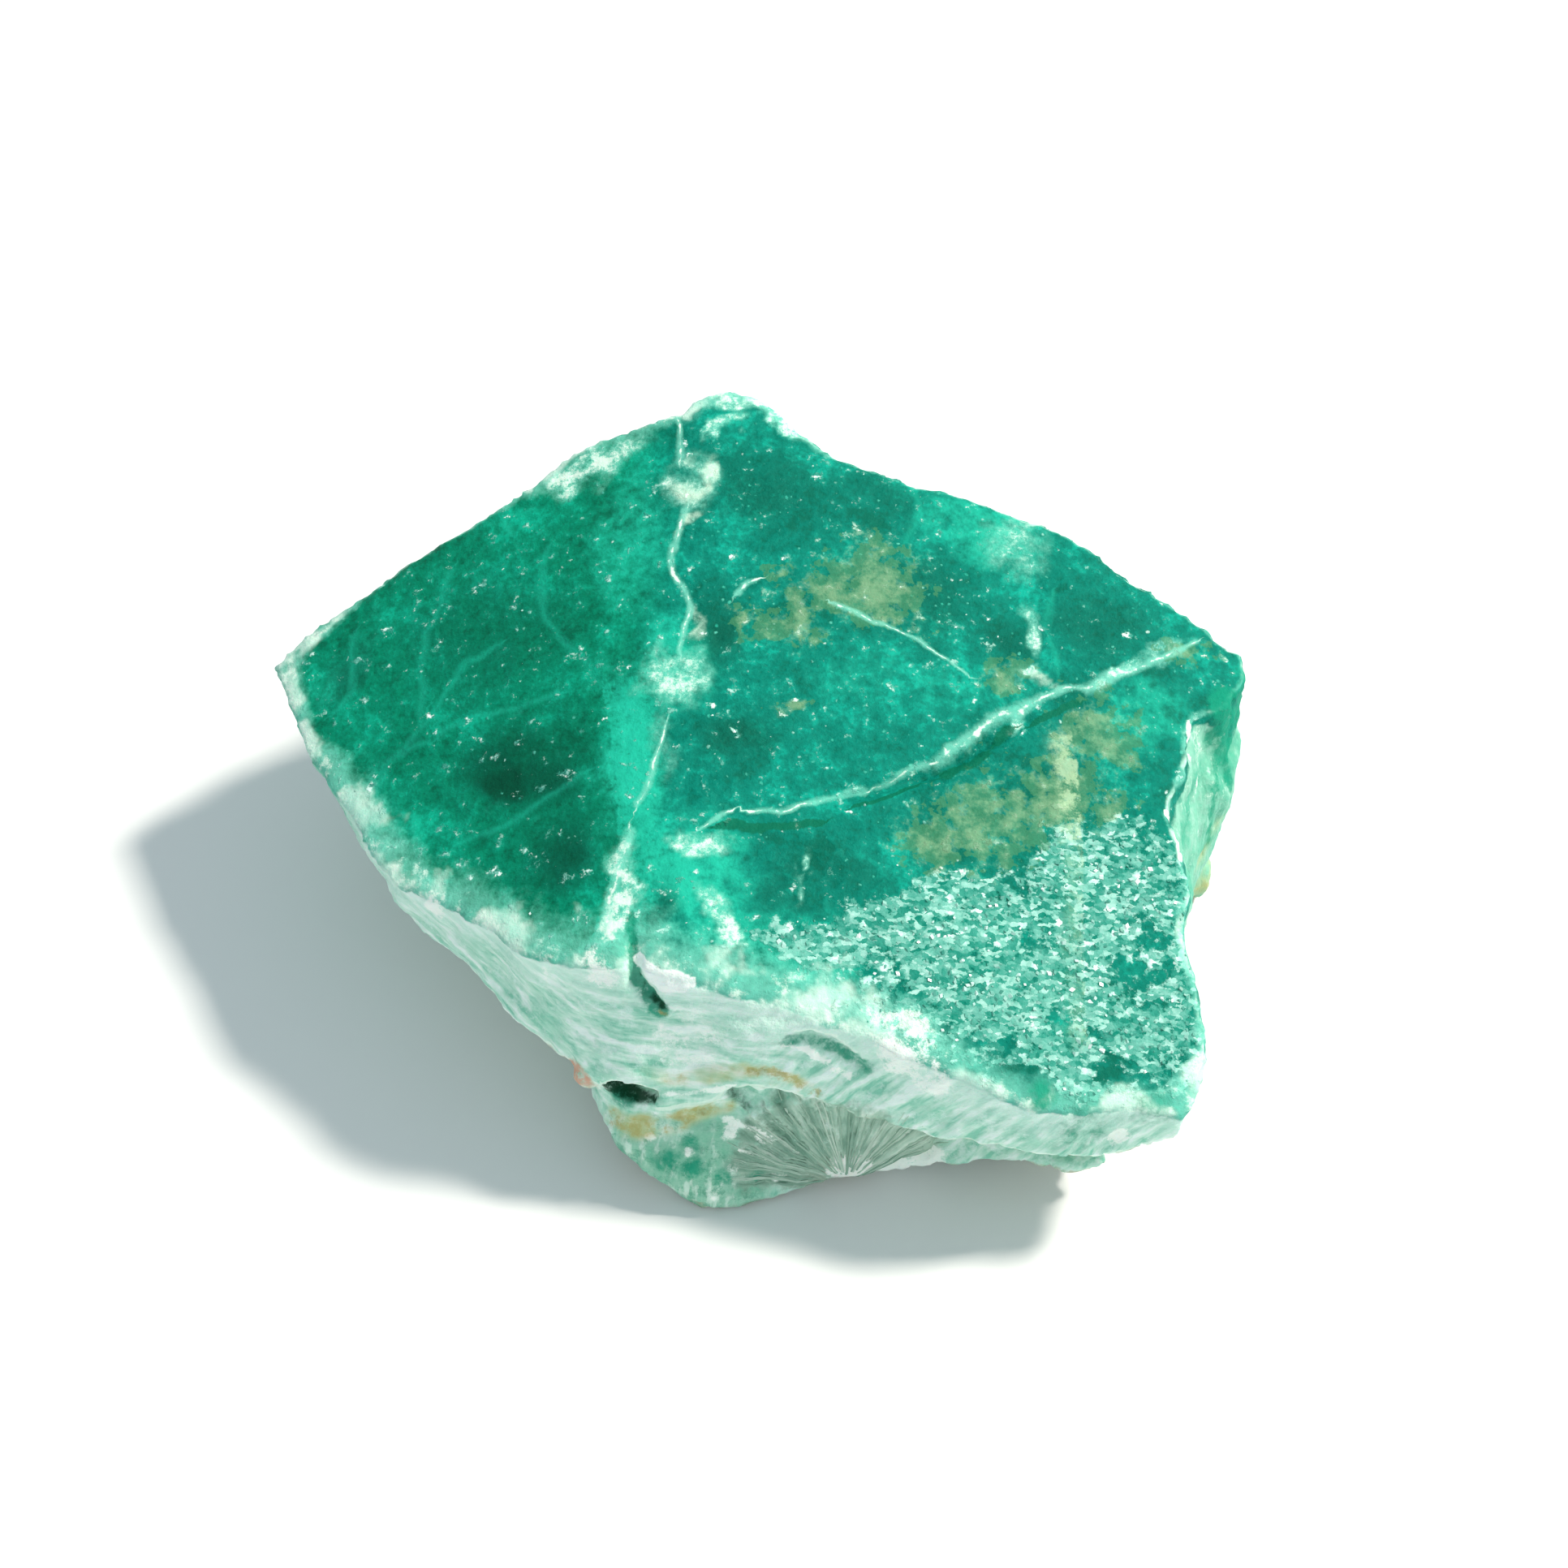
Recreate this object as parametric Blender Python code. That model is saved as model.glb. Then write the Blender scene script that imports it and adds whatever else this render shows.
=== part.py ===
"""Raw smithsonite: one broken, unpolished chunk of translucent green crystal.

A tilted, roof-like broken face on top, a steep pale rim round it, and a lower mass under
the rim that carries a lobe, a small pit and a spray of radiating fibre crystals.
The model is one solid, in metres, +Z up, standing on z = 0 and centred on the origin.
Shapes are worked out in millimetres and scaled once, when the stone is finished.
"""

import math

import bmesh
import bpy
from mathutils import Matrix, Vector, noise
from mathutils.geometry import delaunay_2d_cdt

MM = 0.001

# The top face, as three planes that meet in soft folds: height = x * a + y * b + c.
# The left plane climbs to the fold, and the others fall away to the right and the front.
LEFT_PLANE = (0.295, 0.160, 20.36)
RIGHT_PLANE = (-0.120, 0.185, 18.38)
FRONT_PLANE = (-0.143, 0.242, 19.09)
FOLD_SOFTNESS = 0.45

# Outlines, each as corners (x, y[, z]) going round the stone, from the top down.
EDGE = [  # where the top face breaks off; its heights come from the top face itself
    (-27.0, 6.9), (-26.1, 7.9), (-24.6, 8.9), (-21.8, 10.5), (-20.3, 11.4), (-19.6, 12.0),
    (-18.6, 12.2), (-17.6, 12.9), (-15.2, 14.1), (-12.6, 15.5), (-10.8, 16.9), (-8.9, 17.6),
    (-7.2, 17.8), (-4.5, 18.4), (-4.1, 17.8), (-3.6, 19.2), (-1.6, 20.0), (0.4, 19.6),
    (1.5, 18.5), (2.8, 17.2), (4.1, 16.2), (6.9, 15.3), (8.8, 14.6), (10.5, 14.5),
    (13.4, 13.6), (16.6, 12.6), (17.7, 12.1), (19.0, 11.1), (20.0, 9.7), (21.3, 9.2),
    (23.9, 7.5), (25.8, 5.9), (26.7, 5.7), (26.9, 4.0), (24.9, 1.8), (23.3, 1.5),
    (22.9, -1.6), (21.6, -4.4), (22.3, -6.0), (22.7, -8.4), (22.2, -11.1), (22.8, -13.7),
    (23.0, -17.2), (22.5, -18.8), (21.6, -20.6), (19.1, -20.2), (15.5, -20.7), (13.7, -20.7),
    (10.4, -19.3), (7.2, -18.3), (5.9, -17.5), (3.8, -17.1), (1.8, -16.3), (-1.4, -15.6),
    (-3.1, -15.3), (-5.5, -14.6), (-7.3, -14.6), (-9.2, -14.4), (-11.7, -13.3), (-13.4, -11.7),
    (-15.5, -10.2), (-17.7, -8.7), (-18.6, -8.3), (-19.9, -6.8), (-20.7, -5.1), (-21.3, -3.7),
    (-22.8, -1.7), (-24.1, 0.5), (-25.1, 2.3),
]
RIM = [  # the lower lip of the rim
    (-25.6, 6.6, 11.0), (-22.0, 10.7, 11.4), (-17.5, 13.4, 12.4), (-12.4, 16.5, 13.6),
    (-6.5, 19.2, 15.4), (-1.5, 21.2, 15.8), (3.4, 18.7, 14.8), (10.2, 16.2, 13.6),
    (17.4, 14.0, 12.8), (22.2, 10.6, 12.0), (26.3, 7.0, 11.0), (27.0, 4.2, 10.6),
    (26.3, 1.2, 9.6), (24.6, -1.2, 9.6), (23.0, -5.0, 9.8), (22.6, -8.4, 9.8),
    (22.0, -11.0, 9.4), (22.4, -13.6, 8.9), (22.6, -17.0, 8.4), (21.5, -20.9, 8.7),
    (19.2, -20.8, 7.3), (15.1, -21.3, 8.1), (11.8, -20.6, 8.2), (9.3, -19.9, 7.5),
    (6.0, -19.0, 7.8), (2.4, -18.3, 9.3), (-0.3, -18.0, 10.0), (-2.4, -18.2, 8.2),
    (-4.8, -18.1, 7.7), (-7.1, -17.5, 8.2), (-9.4, -15.5, 8.0), (-11.8, -13.6, 8.4),
    (-14.7, -11.0, 9.1), (-17.8, -8.6, 10.0), (-20.4, -4.8, 10.4), (-23.4, 0.8, 10.6),
]
WAIST = [  # the recess under the rim
    (-20.0, 5.5, 8.6), (-17.6, 9.4, 8.4), (-14.2, 13.6, 9.0), (-8.0, 18.4, 9.6),
    (-1.0, 21.4, 10.0), (4.6, 19.6, 9.6), (11.2, 17.2, 8.8), (18.4, 14.2, 8.4),
    (23.4, 10.0, 8.0), (26.6, 6.4, 7.6), (27.0, 3.9, 7.4), (26.4, 0.9, 7.0),
    (23.4, -3.6, 7.6), (21.2, -8.4, 8.2), (20.2, -13.0, 7.8), (19.4, -17.0, 7.4),
    (15.0, -17.2, 6.8), (11.0, -16.2, 6.4), (7.6, -16.2, 6.4), (4.0, -16.8, 7.6),
    (0.8, -17.2, 8.2), (-1.8, -17.9, 7.2), (-4.6, -17.9, 6.8), (-7.1, -17.2, 7.2),
    (-9.2, -14.0, 7.0), (-11.8, -9.8, 7.2), (-14.6, -5.4, 7.8), (-17.6, 0.0, 8.2),
]
BULGE = [  # the fullest line of the lower mass
    (-15.8, 4.5, 5.4), (-14.4, 10.0, 5.2), (-10.2, 16.0, 5.4), (-2.0, 21.0, 5.8),
    (5.6, 20.0, 5.4), (13.0, 17.2, 5.0), (20.4, 13.4, 4.8), (25.2, 8.4, 4.6),
    (27.0, 3.8, 4.4), (26.3, 1.0, 4.2), (23.8, -4.0, 4.6), (20.8, -9.8, 5.0),
    (18.6, -16.0, 4.8), (14.4, -17.2, 4.4), (9.6, -17.0, 4.0), (5.4, -17.6, 4.2),
    (2.2, -18.5, 3.9), (-1.2, -19.5, 3.4), (-4.6, -19.2, 3.4), (-7.3, -17.8, 4.6),
    (-9.0, -14.4, 5.0), (-11.2, -8.6, 5.2), (-13.2, -2.6, 5.4),
]
HEM = [  # the lower edge of the lower mass, just off the ground or on it
    (-13.2, 4.0, 2.6), (-12.6, 9.6, 2.2), (-8.4, 15.2, 1.9), (-1.2, 19.6, 1.6),
    (6.4, 18.8, 1.4), (13.6, 16.0, 1.4), (20.2, 12.4, 1.2), (24.8, 7.8, 1.1),
    (26.7, 4.0, 1.0), (26.0, 1.2, 1.0), (23.4, -3.6, 1.5), (20.0, -10.4, 2.1),
    (18.3, -18.7, 2.7), (16.2, -18.7, 2.5), (12.3, -18.1, 2.1), (7.9, -18.3, 1.4),
    (5.2, -18.5, 1.1), (3.1, -19.0, 1.0), (0.8, -19.8, 1.0), (-1.3, -20.3, 1.1),
    (-3.6, -20.0, 1.3), (-5.8, -18.9, 1.9), (-7.5, -16.8, 2.6), (-9.0, -10.0, 2.8),
    (-11.0, -3.4, 2.8),
]
FOOT = [  # the outline of the resting face
    (-11.4, 3.6), (-10.8, 8.8), (-6.6, 13.8), (0.0, 17.6), (6.6, 17.2), (13.4, 14.4),
    (19.4, 11.2), (24.2, 7.2), (26.0, 4.0), (25.3, 1.4), (22.2, -2.6), (18.0, -8.0),
    (12.0, -13.0), (6.6, -16.2), (2.6, -18.3), (0.6, -19.3), (-1.4, -19.8), (-3.6, -19.3),
    (-5.4, -17.0), (-7.0, -9.6), (-9.4, -3.2),
]

# How many rows of faces each band has, from the edge of the top face down to the foot.
BAND_ROWS = (6, 3, 2, 3, 2)
WIDEST_STEP = math.radians(3.8)

# How far apart the points of the top face and of the resting face are.
TOP_SPACING = 1.7
FOOT_SPACING = 2.4

# The top face is nearly flat: a slow swell, and a fine roughness. Each is (height, length).
TOP_SWELL = (0.25, 9.0)
TOP_GRAIN = (0.08, 2.6)

# The sides broke in facets, with smaller chips between them. Each is (depth, size).
FACETS = (1.3, 5.5)
CHIPS = (0.18, 2.4)

# The facets are shallow in front, from FRONT_Y outwards, and full this far behind it. They
# fade out near the edge of the top face and near the ground.
FRONT_Y = -17.0
FRONT_DEPTH = 8.0
FRONT_SHARE = 0.35
FADE = 3.0

# The flat pad that the stone rests on, and how far the rest of its underside is hollowed.
PAD_CENTRE = (4.0, 2.0)
PAD_RADIUS = 6.5
HOLLOW_DEPTH = 2.6
HOLLOW_SIZE = 5.0

# Slits that run along the surface. Each has its path, the way that its depth points at its
# two ends, its greatest width and depth, where it is widest (0 to 1 along its run), and its
# lean: where its deepest line lies across it, from -1 on its left side to 1 on its right.
SLITS = {
    "fissure": {
        "path": [
            (-1.9, -6.9), (0.9, -6.4), (3.8, -5.5), (6.5, -4.4), (9.1, -3.3), (10.7, -2.4),
            (12.5, -1.0), (14.8, 0.5), (17.7, 1.9),
        ],
        "inwards": ((0, 0, -1), (0, 0, -1)),
        "width": 1.1, "depth": 0.9, "widest": 0.6, "lean": -0.7,
    },
    "fold_crack": {
        "path": [(-4.3, 9.4), (-3.9, 7.0), (-3.4, 4.9), (-3.4, 3.0)],
        "inwards": ((0, 0, -1), (0, 0, -1)),
        "width": 0.5, "depth": 0.5, "widest": 0.7, "lean": 0.0,
    },
    "rim_crack": {
        "path": [
            (-6.2, -10.3, 16.7), (-6.3, -11.7, 16.4), (-6.1, -13.1, 16.2), (-5.9, -14.3, 16.0),
            (-5.8, -14.9, 15.1), (-5.3, -15.3, 14.4), (-4.7, -15.7, 13.7), (-4.2, -16.0, 12.8),
        ],
        "inwards": ((0, 0.1, -1), (0, 0.93, -0.37)),
        "width": 1.0, "depth": 1.5, "widest": 0.72, "lean": 0.6,
    },
    "crescent_nick": {
        "path": [
            (1.4, -17.0, 12.2), (2.0, -17.1, 12.8), (3.0, -17.3, 12.9), (4.2, -17.6, 12.4),
            (5.2, -17.9, 11.7), (5.9, -18.1, 11.0),
        ],
        "inwards": ((0, 0.95, -0.3), (0, 0.95, -0.3)),
        "width": 1.2, "depth": 0.8, "widest": 0.5, "lean": -0.6,
    },
}

# Pits at the back of the recess: centre, radii.
PITS = {
    "deep_pit": ((-6.2, -17.0, 7.9), (1.6, 1.9, 0.9)),
    "small_pit": ((-0.8, -17.5, 8.3), (0.75, 1.1, 0.6)),
}

# The spray of fibre crystals that fills the recess under the rim, and reaches up behind it.
SPRAY_ROOT = Vector((4.9, -18.8, 1.0))
SPRAY_BLADES = 17
SPRAY_FAN = (math.radians(165), math.radians(30))
SPRAY_REACH = ((0.0, 6.6), (0.25, 8.2), (0.5, 8.6), (0.8, 6.8), (1.0, 6.0))
SPRAY_LEAN = 0.13
SPRAY_RIDGE = 0.55
SPRAY_BACK = 4.6
SPRAY_STATIONS = (0.08, 0.4, 0.7, 1.0)
SPRAY_UNEVENNESS = 0.12

# Small lumps that grew or were left on the outside: centre, radii.
LUMPS = {
    "stained_crumb": ((25.6, 0.9, 1.9), (1.0, 1.1, 1.6)),
    "pink_crumb": ((-8.6, -15.9, 7.4), (0.8, 0.9, 1.0)),
    "ledge_tip": ((17.2, -18.4, 2.9), (1.6, 0.7, 0.5)),
}


def bearing(point):
    """The direction of a point from the middle, in plan, from 0 to a full turn."""
    return math.atan2(point[1], point[0]) % math.tau


def soft_lowest(heights, softness):
    """The lowest of some heights, rounded off where two of them meet."""
    lowest = min(heights)
    spread = sum(math.exp((lowest - height) / softness) for height in heights)
    return lowest - softness * math.log(spread)


def fine_noise(place):
    """Noise of three sizes, each half as large and as strong as the one before."""
    return noise.fractal(place, 1.0, 2.0, 3)


def top_height(x, y):
    """The height of the top face over a point in plan."""
    swell_height, swell_length = TOP_SWELL
    grain_height, grain_length = TOP_GRAIN
    planes = [a * x + b * y + c for a, b, c in (LEFT_PLANE, RIGHT_PLANE, FRONT_PLANE)]
    swell = swell_height * noise.noise(Vector((x, y, 0)) / swell_length)
    grain = grain_height * fine_noise(Vector((x, y, 0)) / grain_length)
    return soft_lowest(planes, FOLD_SOFTNESS) + swell + grain


def bearings_round():
    """Every bearing that a corner of the edge has, with even steps filled in between."""
    corners = sorted(bearing(corner) for corner in EDGE)
    found = []
    for here, there in zip(corners, corners[1:] + [corners[0] + math.tau]):
        steps = max(1, math.ceil((there - here) / WIDEST_STEP))
        found += [here + (there - here) * step / steps for step in range(steps)]
    return found


def on_outline(outline, angle):
    """The point where a ray from the middle, at this bearing, meets the outline."""
    corners = sorted(outline, key=bearing)
    ray = Vector((math.cos(angle), math.sin(angle)))
    for start, end in zip([corners[-1]] + corners[:-1], corners):
        a, b = Vector(start[:2]), Vector(end[:2])
        turned = Vector((-ray.y, ray.x))
        side_a, side_b = a.dot(turned), b.dot(turned)
        if side_a <= 0 < side_b and (a + b).dot(ray) > 0:
            share = side_a / (side_a - side_b)
            return Vector(start).lerp(Vector(end), share)
    raise ValueError("the outline doesn't go round the middle")


def foot_height(x, y):
    """The height of the underside, hollowed outside the pad that the stone rests on."""
    off_pad = (Vector((x, y)) - Vector(PAD_CENTRE)).length / PAD_RADIUS - 1
    lumps = 0.45 + noise.noise(Vector((x, y, 0)) / HOLLOW_SIZE)
    return HOLLOW_DEPTH * min(1.0, max(0.0, off_pad)) * max(0.0, lumps)


def random_tilt(seed):
    """A direction and strength that depends on the seed alone, from -1 to 1 each way."""
    return (noise.cell_vector(seed) - Vector((0.5, 0.5, 0.5))) * 2


def facets_at(place):
    """A broken surface made of flat cells, each tilted its own way."""
    depth, size = FACETS
    spot = place / size
    centre = noise.voronoi(spot)[1][0]
    return depth * (spot - centre).dot(random_tilt(centre * 7.3))


def broken(point, edge_height):
    """Moves a point of the side in or out along its bearing."""
    chip_depth, chip_size = CHIPS
    below_edge = min(1.0, (edge_height - point.z) / FADE)
    above_ground = min(1.0, point.z / FADE)
    behind = min(1.0, max(FRONT_SHARE, (point.y - FRONT_Y) / FRONT_DEPTH))
    amount = facets_at(point) * behind + chip_depth * fine_noise(point / chip_size)
    outwards = Vector((point.x, point.y, 0)).normalized()
    return point + outwards * amount * below_edge * above_ground


def rings_of_side():
    """Rings of points round the side, all with one point per bearing, from the edge down."""
    angles = bearings_round()
    outlines = [[on_outline(outline, angle) for angle in angles]
                for outline in (RIM, WAIST, BULGE, HEM)]
    edge = [on_outline(EDGE, angle) for angle in angles]
    foot = [on_outline(FOOT, angle) for angle in angles]
    outlines.insert(0, [Vector((p.x, p.y, top_height(p.x, p.y))) for p in edge])
    outlines.append([Vector((p.x, p.y, 0.0)) for p in foot])
    rings = [outlines[0]]
    for upper, lower, rows in zip(outlines, outlines[1:], BAND_ROWS):
        for row in range(1, rows + 1):
            ring = [a.lerp(b, row / rows) for a, b in zip(upper, lower)]
            rings.append([broken(p, top.z) for p, top in zip(ring, outlines[0])])
    return rings


def net_points(outline, spacing):
    """An even, slightly shuffled net of plan points that keeps clear of the outline."""
    found = []
    reach = int(max(Vector(corner[:2]).length for corner in outline) / spacing) + 2
    row_height = math.sqrt(3) / 2
    for row in range(-reach, reach + 1):
        for column in range(-reach, reach + 1):
            place = Vector((column + 0.5 * (row % 2), row * row_height)) * spacing
            place += random_tilt(Vector((row, column, spacing))).xy * spacing * 0.17
            limit = on_outline(outline, bearing(place)).xy.length
            if place.length + 0.7 * spacing < limit:
                found.append(place)
    return found


def close_ring(body, ring, outline, spacing, height):
    """Fills a ring of vertices with a net of triangles whose heights follow a function."""
    sides = [(i, (i + 1) % len(ring)) for i in range(len(ring))]
    plan = [vertex.co.xy for vertex in ring] + net_points(outline, spacing)
    inside_only = 1
    points, _, faces, origins, _, _ = delaunay_2d_cdt(plan, sides, [], inside_only, 1e-5)
    vertices = []
    for point, origin in zip(points, origins):
        first = min(origin)
        if first < len(ring):
            vertices.append(ring[first])
        else:
            vertices.append(body.verts.new((point.x, point.y, height(point.x, point.y))))
    for face in faces:
        body.faces.new([vertices[i] for i in face])


def stone_body():
    """The closed body of the stone, as a bmesh of triangles."""
    body = bmesh.new()
    rings = [[body.verts.new(point) for point in ring] for ring in rings_of_side()]
    for upper, lower in zip(rings, rings[1:]):
        for i in range(len(upper)):
            j = (i + 1) % len(upper)
            body.faces.new((upper[i], lower[i], lower[j], upper[j]))
    close_ring(body, rings[0], EDGE, TOP_SPACING, top_height)
    close_ring(body, rings[-1], FOOT, FOOT_SPACING, foot_height)
    bmesh.ops.recalc_face_normals(body, faces=body.faces)
    bmesh.ops.triangulate(body, faces=body.faces)
    return body


def object_of(name, mesh_data):
    """A new object in the scene, from a bmesh, which is used up."""
    mesh = bpy.data.meshes.new(name)
    mesh_data.to_mesh(mesh)
    mesh_data.free()
    obj = bpy.data.objects.new(name, mesh)
    bpy.context.scene.collection.objects.link(obj)
    return obj


def swept_cutter(name, path, sections):
    """A closed cutter that runs along a path of points, with one section of offsets each."""
    cutter = bmesh.new()
    rings = []
    for point, section in zip(path, sections):
        rings.append([cutter.verts.new(point + offset) for offset in section])
    for here, there in zip(rings, rings[1:]):
        for i in range(len(here)):
            j = (i + 1) % len(here)
            cutter.faces.new((here[i], here[j], there[j], there[i]))
    cutter.faces.new(rings[0][::-1])
    cutter.faces.new(rings[-1])
    bmesh.ops.triangulate(cutter, faces=cutter.faces)
    bmesh.ops.recalc_face_normals(cutter, faces=cutter.faces)
    return object_of(name, cutter)


def slit_size(share, widest):
    """How wide and deep a slit is at this share of its run: 1 at its widest, small at its ends."""
    rise = share / widest if share < widest else (1 - share) / (1 - widest)
    return 0.12 + 0.88 * math.sin(rise * math.pi / 2)


def slit_cutter(name, slit):
    """A V-shaped cut along a path on the surface, pointed at both ends of its run."""
    path = [Vector(p if len(p) == 3 else (*p, top_height(*p))) for p in slit["path"]]
    first_way, last_way = (Vector(way) for way in slit["inwards"])
    sections = []
    for i in range(len(path)):
        share = i / (len(path) - 1)
        size = slit_size(share, slit["widest"])
        inwards = first_way.lerp(last_way, share).normalized()
        run = path[min(i + 1, len(path) - 1)] - path[max(i - 1, 0)]
        half = run.cross(-inwards).normalized() * slit["width"] * size / 2
        bottom = inwards * slit["depth"] * size + half * slit["lean"]
        above = -inwards * 1.2
        sections.append([half * 1.4 + above, -half * 1.4 + above, -half, bottom, half])
    return swept_cutter(name, path, sections)


def rough_ball(name, centre, radii):
    """A small lump with flat faces, used to add a crumb or to cut a pit."""
    ball = bmesh.new()
    bmesh.ops.create_icosphere(ball, subdivisions=2, radius=1.0)
    for vertex in ball.verts:
        vertex.co *= 1 + 0.3 * noise.noise(vertex.co * 1.4 + Vector(centre))
        vertex.co = Vector(centre) + vertex.co * Vector(radii)
    return object_of(name, ball)


def spray_reach(share):
    """How long a blade is, this share of the way round the spray."""
    for (start, short), (end, long) in zip(SPRAY_REACH, SPRAY_REACH[1:]):
        if share <= end:
            return short + (long - short) * (share - start) / (end - start)
    return SPRAY_REACH[-1][1]


def spray_line(index):
    """Points out along one ridge (odd) or groove (even) of the spray, from its root."""
    on_ridge = index % 2
    share = index / (2 * SPRAY_BLADES)
    shuffle = noise.noise(Vector((index * 3.7, 1.0, 0.5)))
    angle = SPRAY_FAN[0] + (SPRAY_FAN[1] - SPRAY_FAN[0]) * share
    along = Vector((math.cos(angle), SPRAY_LEAN, math.sin(angle))).normalized()
    length = spray_reach(share) * (0.9 + 0.1 * on_ridge + SPRAY_UNEVENNESS * shuffle)
    lift = Vector((0, -SPRAY_RIDGE * (1 + shuffle) * on_ridge, 0))
    return [SPRAY_ROOT + (along * length + lift) * reach for reach in SPRAY_STATIONS]


def spray():
    """The fibre crystals as one solid: a fan of sharp ridges in front, flat behind."""
    fan = bmesh.new()
    lines = [spray_line(index) for index in range(2 * SPRAY_BLADES + 1)]
    depths = [Vector((0, SPRAY_BACK * (0.3 + 0.7 * reach), 0)) for reach in SPRAY_STATIONS]
    loops = []
    for line in lines:
        front = [fan.verts.new(point) for point in line]
        rear = [fan.verts.new(point + depth) for point, depth in zip(line, depths)]
        loops.append(front + rear[::-1])
    for one, two in zip(loops, loops[1:]):
        for i in range(len(one)):
            j = (i + 1) % len(one)
            fan.faces.new((one[i], one[j], two[j], two[i]))
    fan.faces.new(loops[0][::-1])
    fan.faces.new(loops[-1])
    bmesh.ops.triangulate(fan, faces=fan.faces)
    bmesh.ops.recalc_face_normals(fan, faces=fan.faces)
    return object_of("spray", fan)


def growths():
    """What stands out from the stone's body."""
    return [spray()] + [rough_ball(name, *lump) for name, lump in LUMPS.items()]


def cuts():
    """What is missing from the stone's body."""
    slits = [slit_cutter(name, slit) for name, slit in SLITS.items()]
    return slits + [rough_ball(name, *pit) for name, pit in PITS.items()]


def combine(stone, helpers, operation):
    """Joins or cuts the stone with each helper in turn, and removes the helpers."""
    for helper in helpers:
        modifier = stone.modifiers.new(helper.name, "BOOLEAN")
        modifier.operation = operation
        modifier.object = helper
        graph = bpy.context.evaluated_depsgraph_get()
        joined = bpy.data.meshes.new_from_object(stone.evaluated_get(graph))
        stone.modifiers.clear()
        stone.data = joined
        bpy.data.objects.remove(helper)


def settle(stone):
    """Scales the stone from millimetres, and puts the middle of its base on the origin."""
    places = [vertex.co for vertex in stone.data.vertices]
    low = Vector(min(place[axis] for place in places) for axis in range(3))
    high = Vector(max(place[axis] for place in places) for axis in range(3))
    base = Vector(((low.x + high.x) / 2, (low.y + high.y) / 2, low.z))
    stone.data.transform(Matrix.Scale(MM, 4) @ Matrix.Translation(-base))
    stone.data.update()


def stone_material():
    """A waxy, slightly glossy green."""
    material = bpy.data.materials.new("green_smithsonite")
    material.use_nodes = True
    shader = material.node_tree.nodes["Principled BSDF"]
    shader.inputs["Base Color"].default_value = (0.02, 0.42, 0.27, 1.0)
    shader.inputs["Roughness"].default_value = 0.42
    shader.inputs["Metallic"].default_value = 0.0
    return material


def main():
    for obj in list(bpy.data.objects):
        bpy.data.objects.remove(obj)
    stone = object_of("smithsonite", stone_body())
    combine(stone, growths(), "UNION")
    combine(stone, cuts(), "DIFFERENCE")
    settle(stone)
    stone.data.materials.clear()
    stone.data.materials.append(stone_material())


main()
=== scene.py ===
"""Raw smithsonite: a broken chunk of translucent green crystal, standing on a pale floor.

Three pieces stand for the stone: its body, the small cleavage grains that frost its broken
top, and the fibre crystals that fan out in the recess under its rim. Run as a script, it
makes them in that order, then the floor, the lights and the camera.

Places on the stone are in millimetres and in its working frame, which is OFFSET away from
the middle of its base. Lengths in the settings are in metres.
"""

import math

import bmesh
import bpy
import numpy as np
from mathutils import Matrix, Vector, kdtree, noise


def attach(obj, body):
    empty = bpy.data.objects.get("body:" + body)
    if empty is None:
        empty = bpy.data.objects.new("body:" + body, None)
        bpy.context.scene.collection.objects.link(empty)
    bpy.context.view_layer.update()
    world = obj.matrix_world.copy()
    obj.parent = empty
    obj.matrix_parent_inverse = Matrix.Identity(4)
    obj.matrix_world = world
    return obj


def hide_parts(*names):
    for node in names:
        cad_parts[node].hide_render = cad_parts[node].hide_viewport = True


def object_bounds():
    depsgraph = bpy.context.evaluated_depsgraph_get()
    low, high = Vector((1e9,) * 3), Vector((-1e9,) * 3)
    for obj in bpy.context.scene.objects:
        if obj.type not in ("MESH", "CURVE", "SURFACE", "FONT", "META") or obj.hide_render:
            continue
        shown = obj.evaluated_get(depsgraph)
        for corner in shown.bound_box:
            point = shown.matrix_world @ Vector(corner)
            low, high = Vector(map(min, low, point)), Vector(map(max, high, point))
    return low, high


bl_info = {
    "name": "Raw smithsonite",
    "version": (1, 0, 0),
    "blender": (4, 5, 0),
    "location": "3D View > Sidebar > Smithsonite",
    "description": "A broken chunk of green smithsonite with a pale rim and a spray of crystals",
    "category": "Object",
}

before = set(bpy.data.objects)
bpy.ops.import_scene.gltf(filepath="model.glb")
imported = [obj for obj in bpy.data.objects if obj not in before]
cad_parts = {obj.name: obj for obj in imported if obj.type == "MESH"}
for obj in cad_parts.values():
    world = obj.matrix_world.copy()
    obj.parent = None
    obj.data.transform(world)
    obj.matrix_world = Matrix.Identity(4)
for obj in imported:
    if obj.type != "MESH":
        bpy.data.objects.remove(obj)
CAD_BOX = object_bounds()

MM = 0.001
OFFSET = np.array((0.173, 0.331, 0.0))

# The broken top face, as three planes that meet in soft folds: height = x * a + y * b + c.
LEFT_PLANE = (0.295, 0.160, 20.36)
RIGHT_PLANE = (-0.120, 0.185, 18.38)
FRONT_PLANE = (-0.143, 0.242, 19.09)
FOLD_SOFTNESS = 0.45

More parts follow.
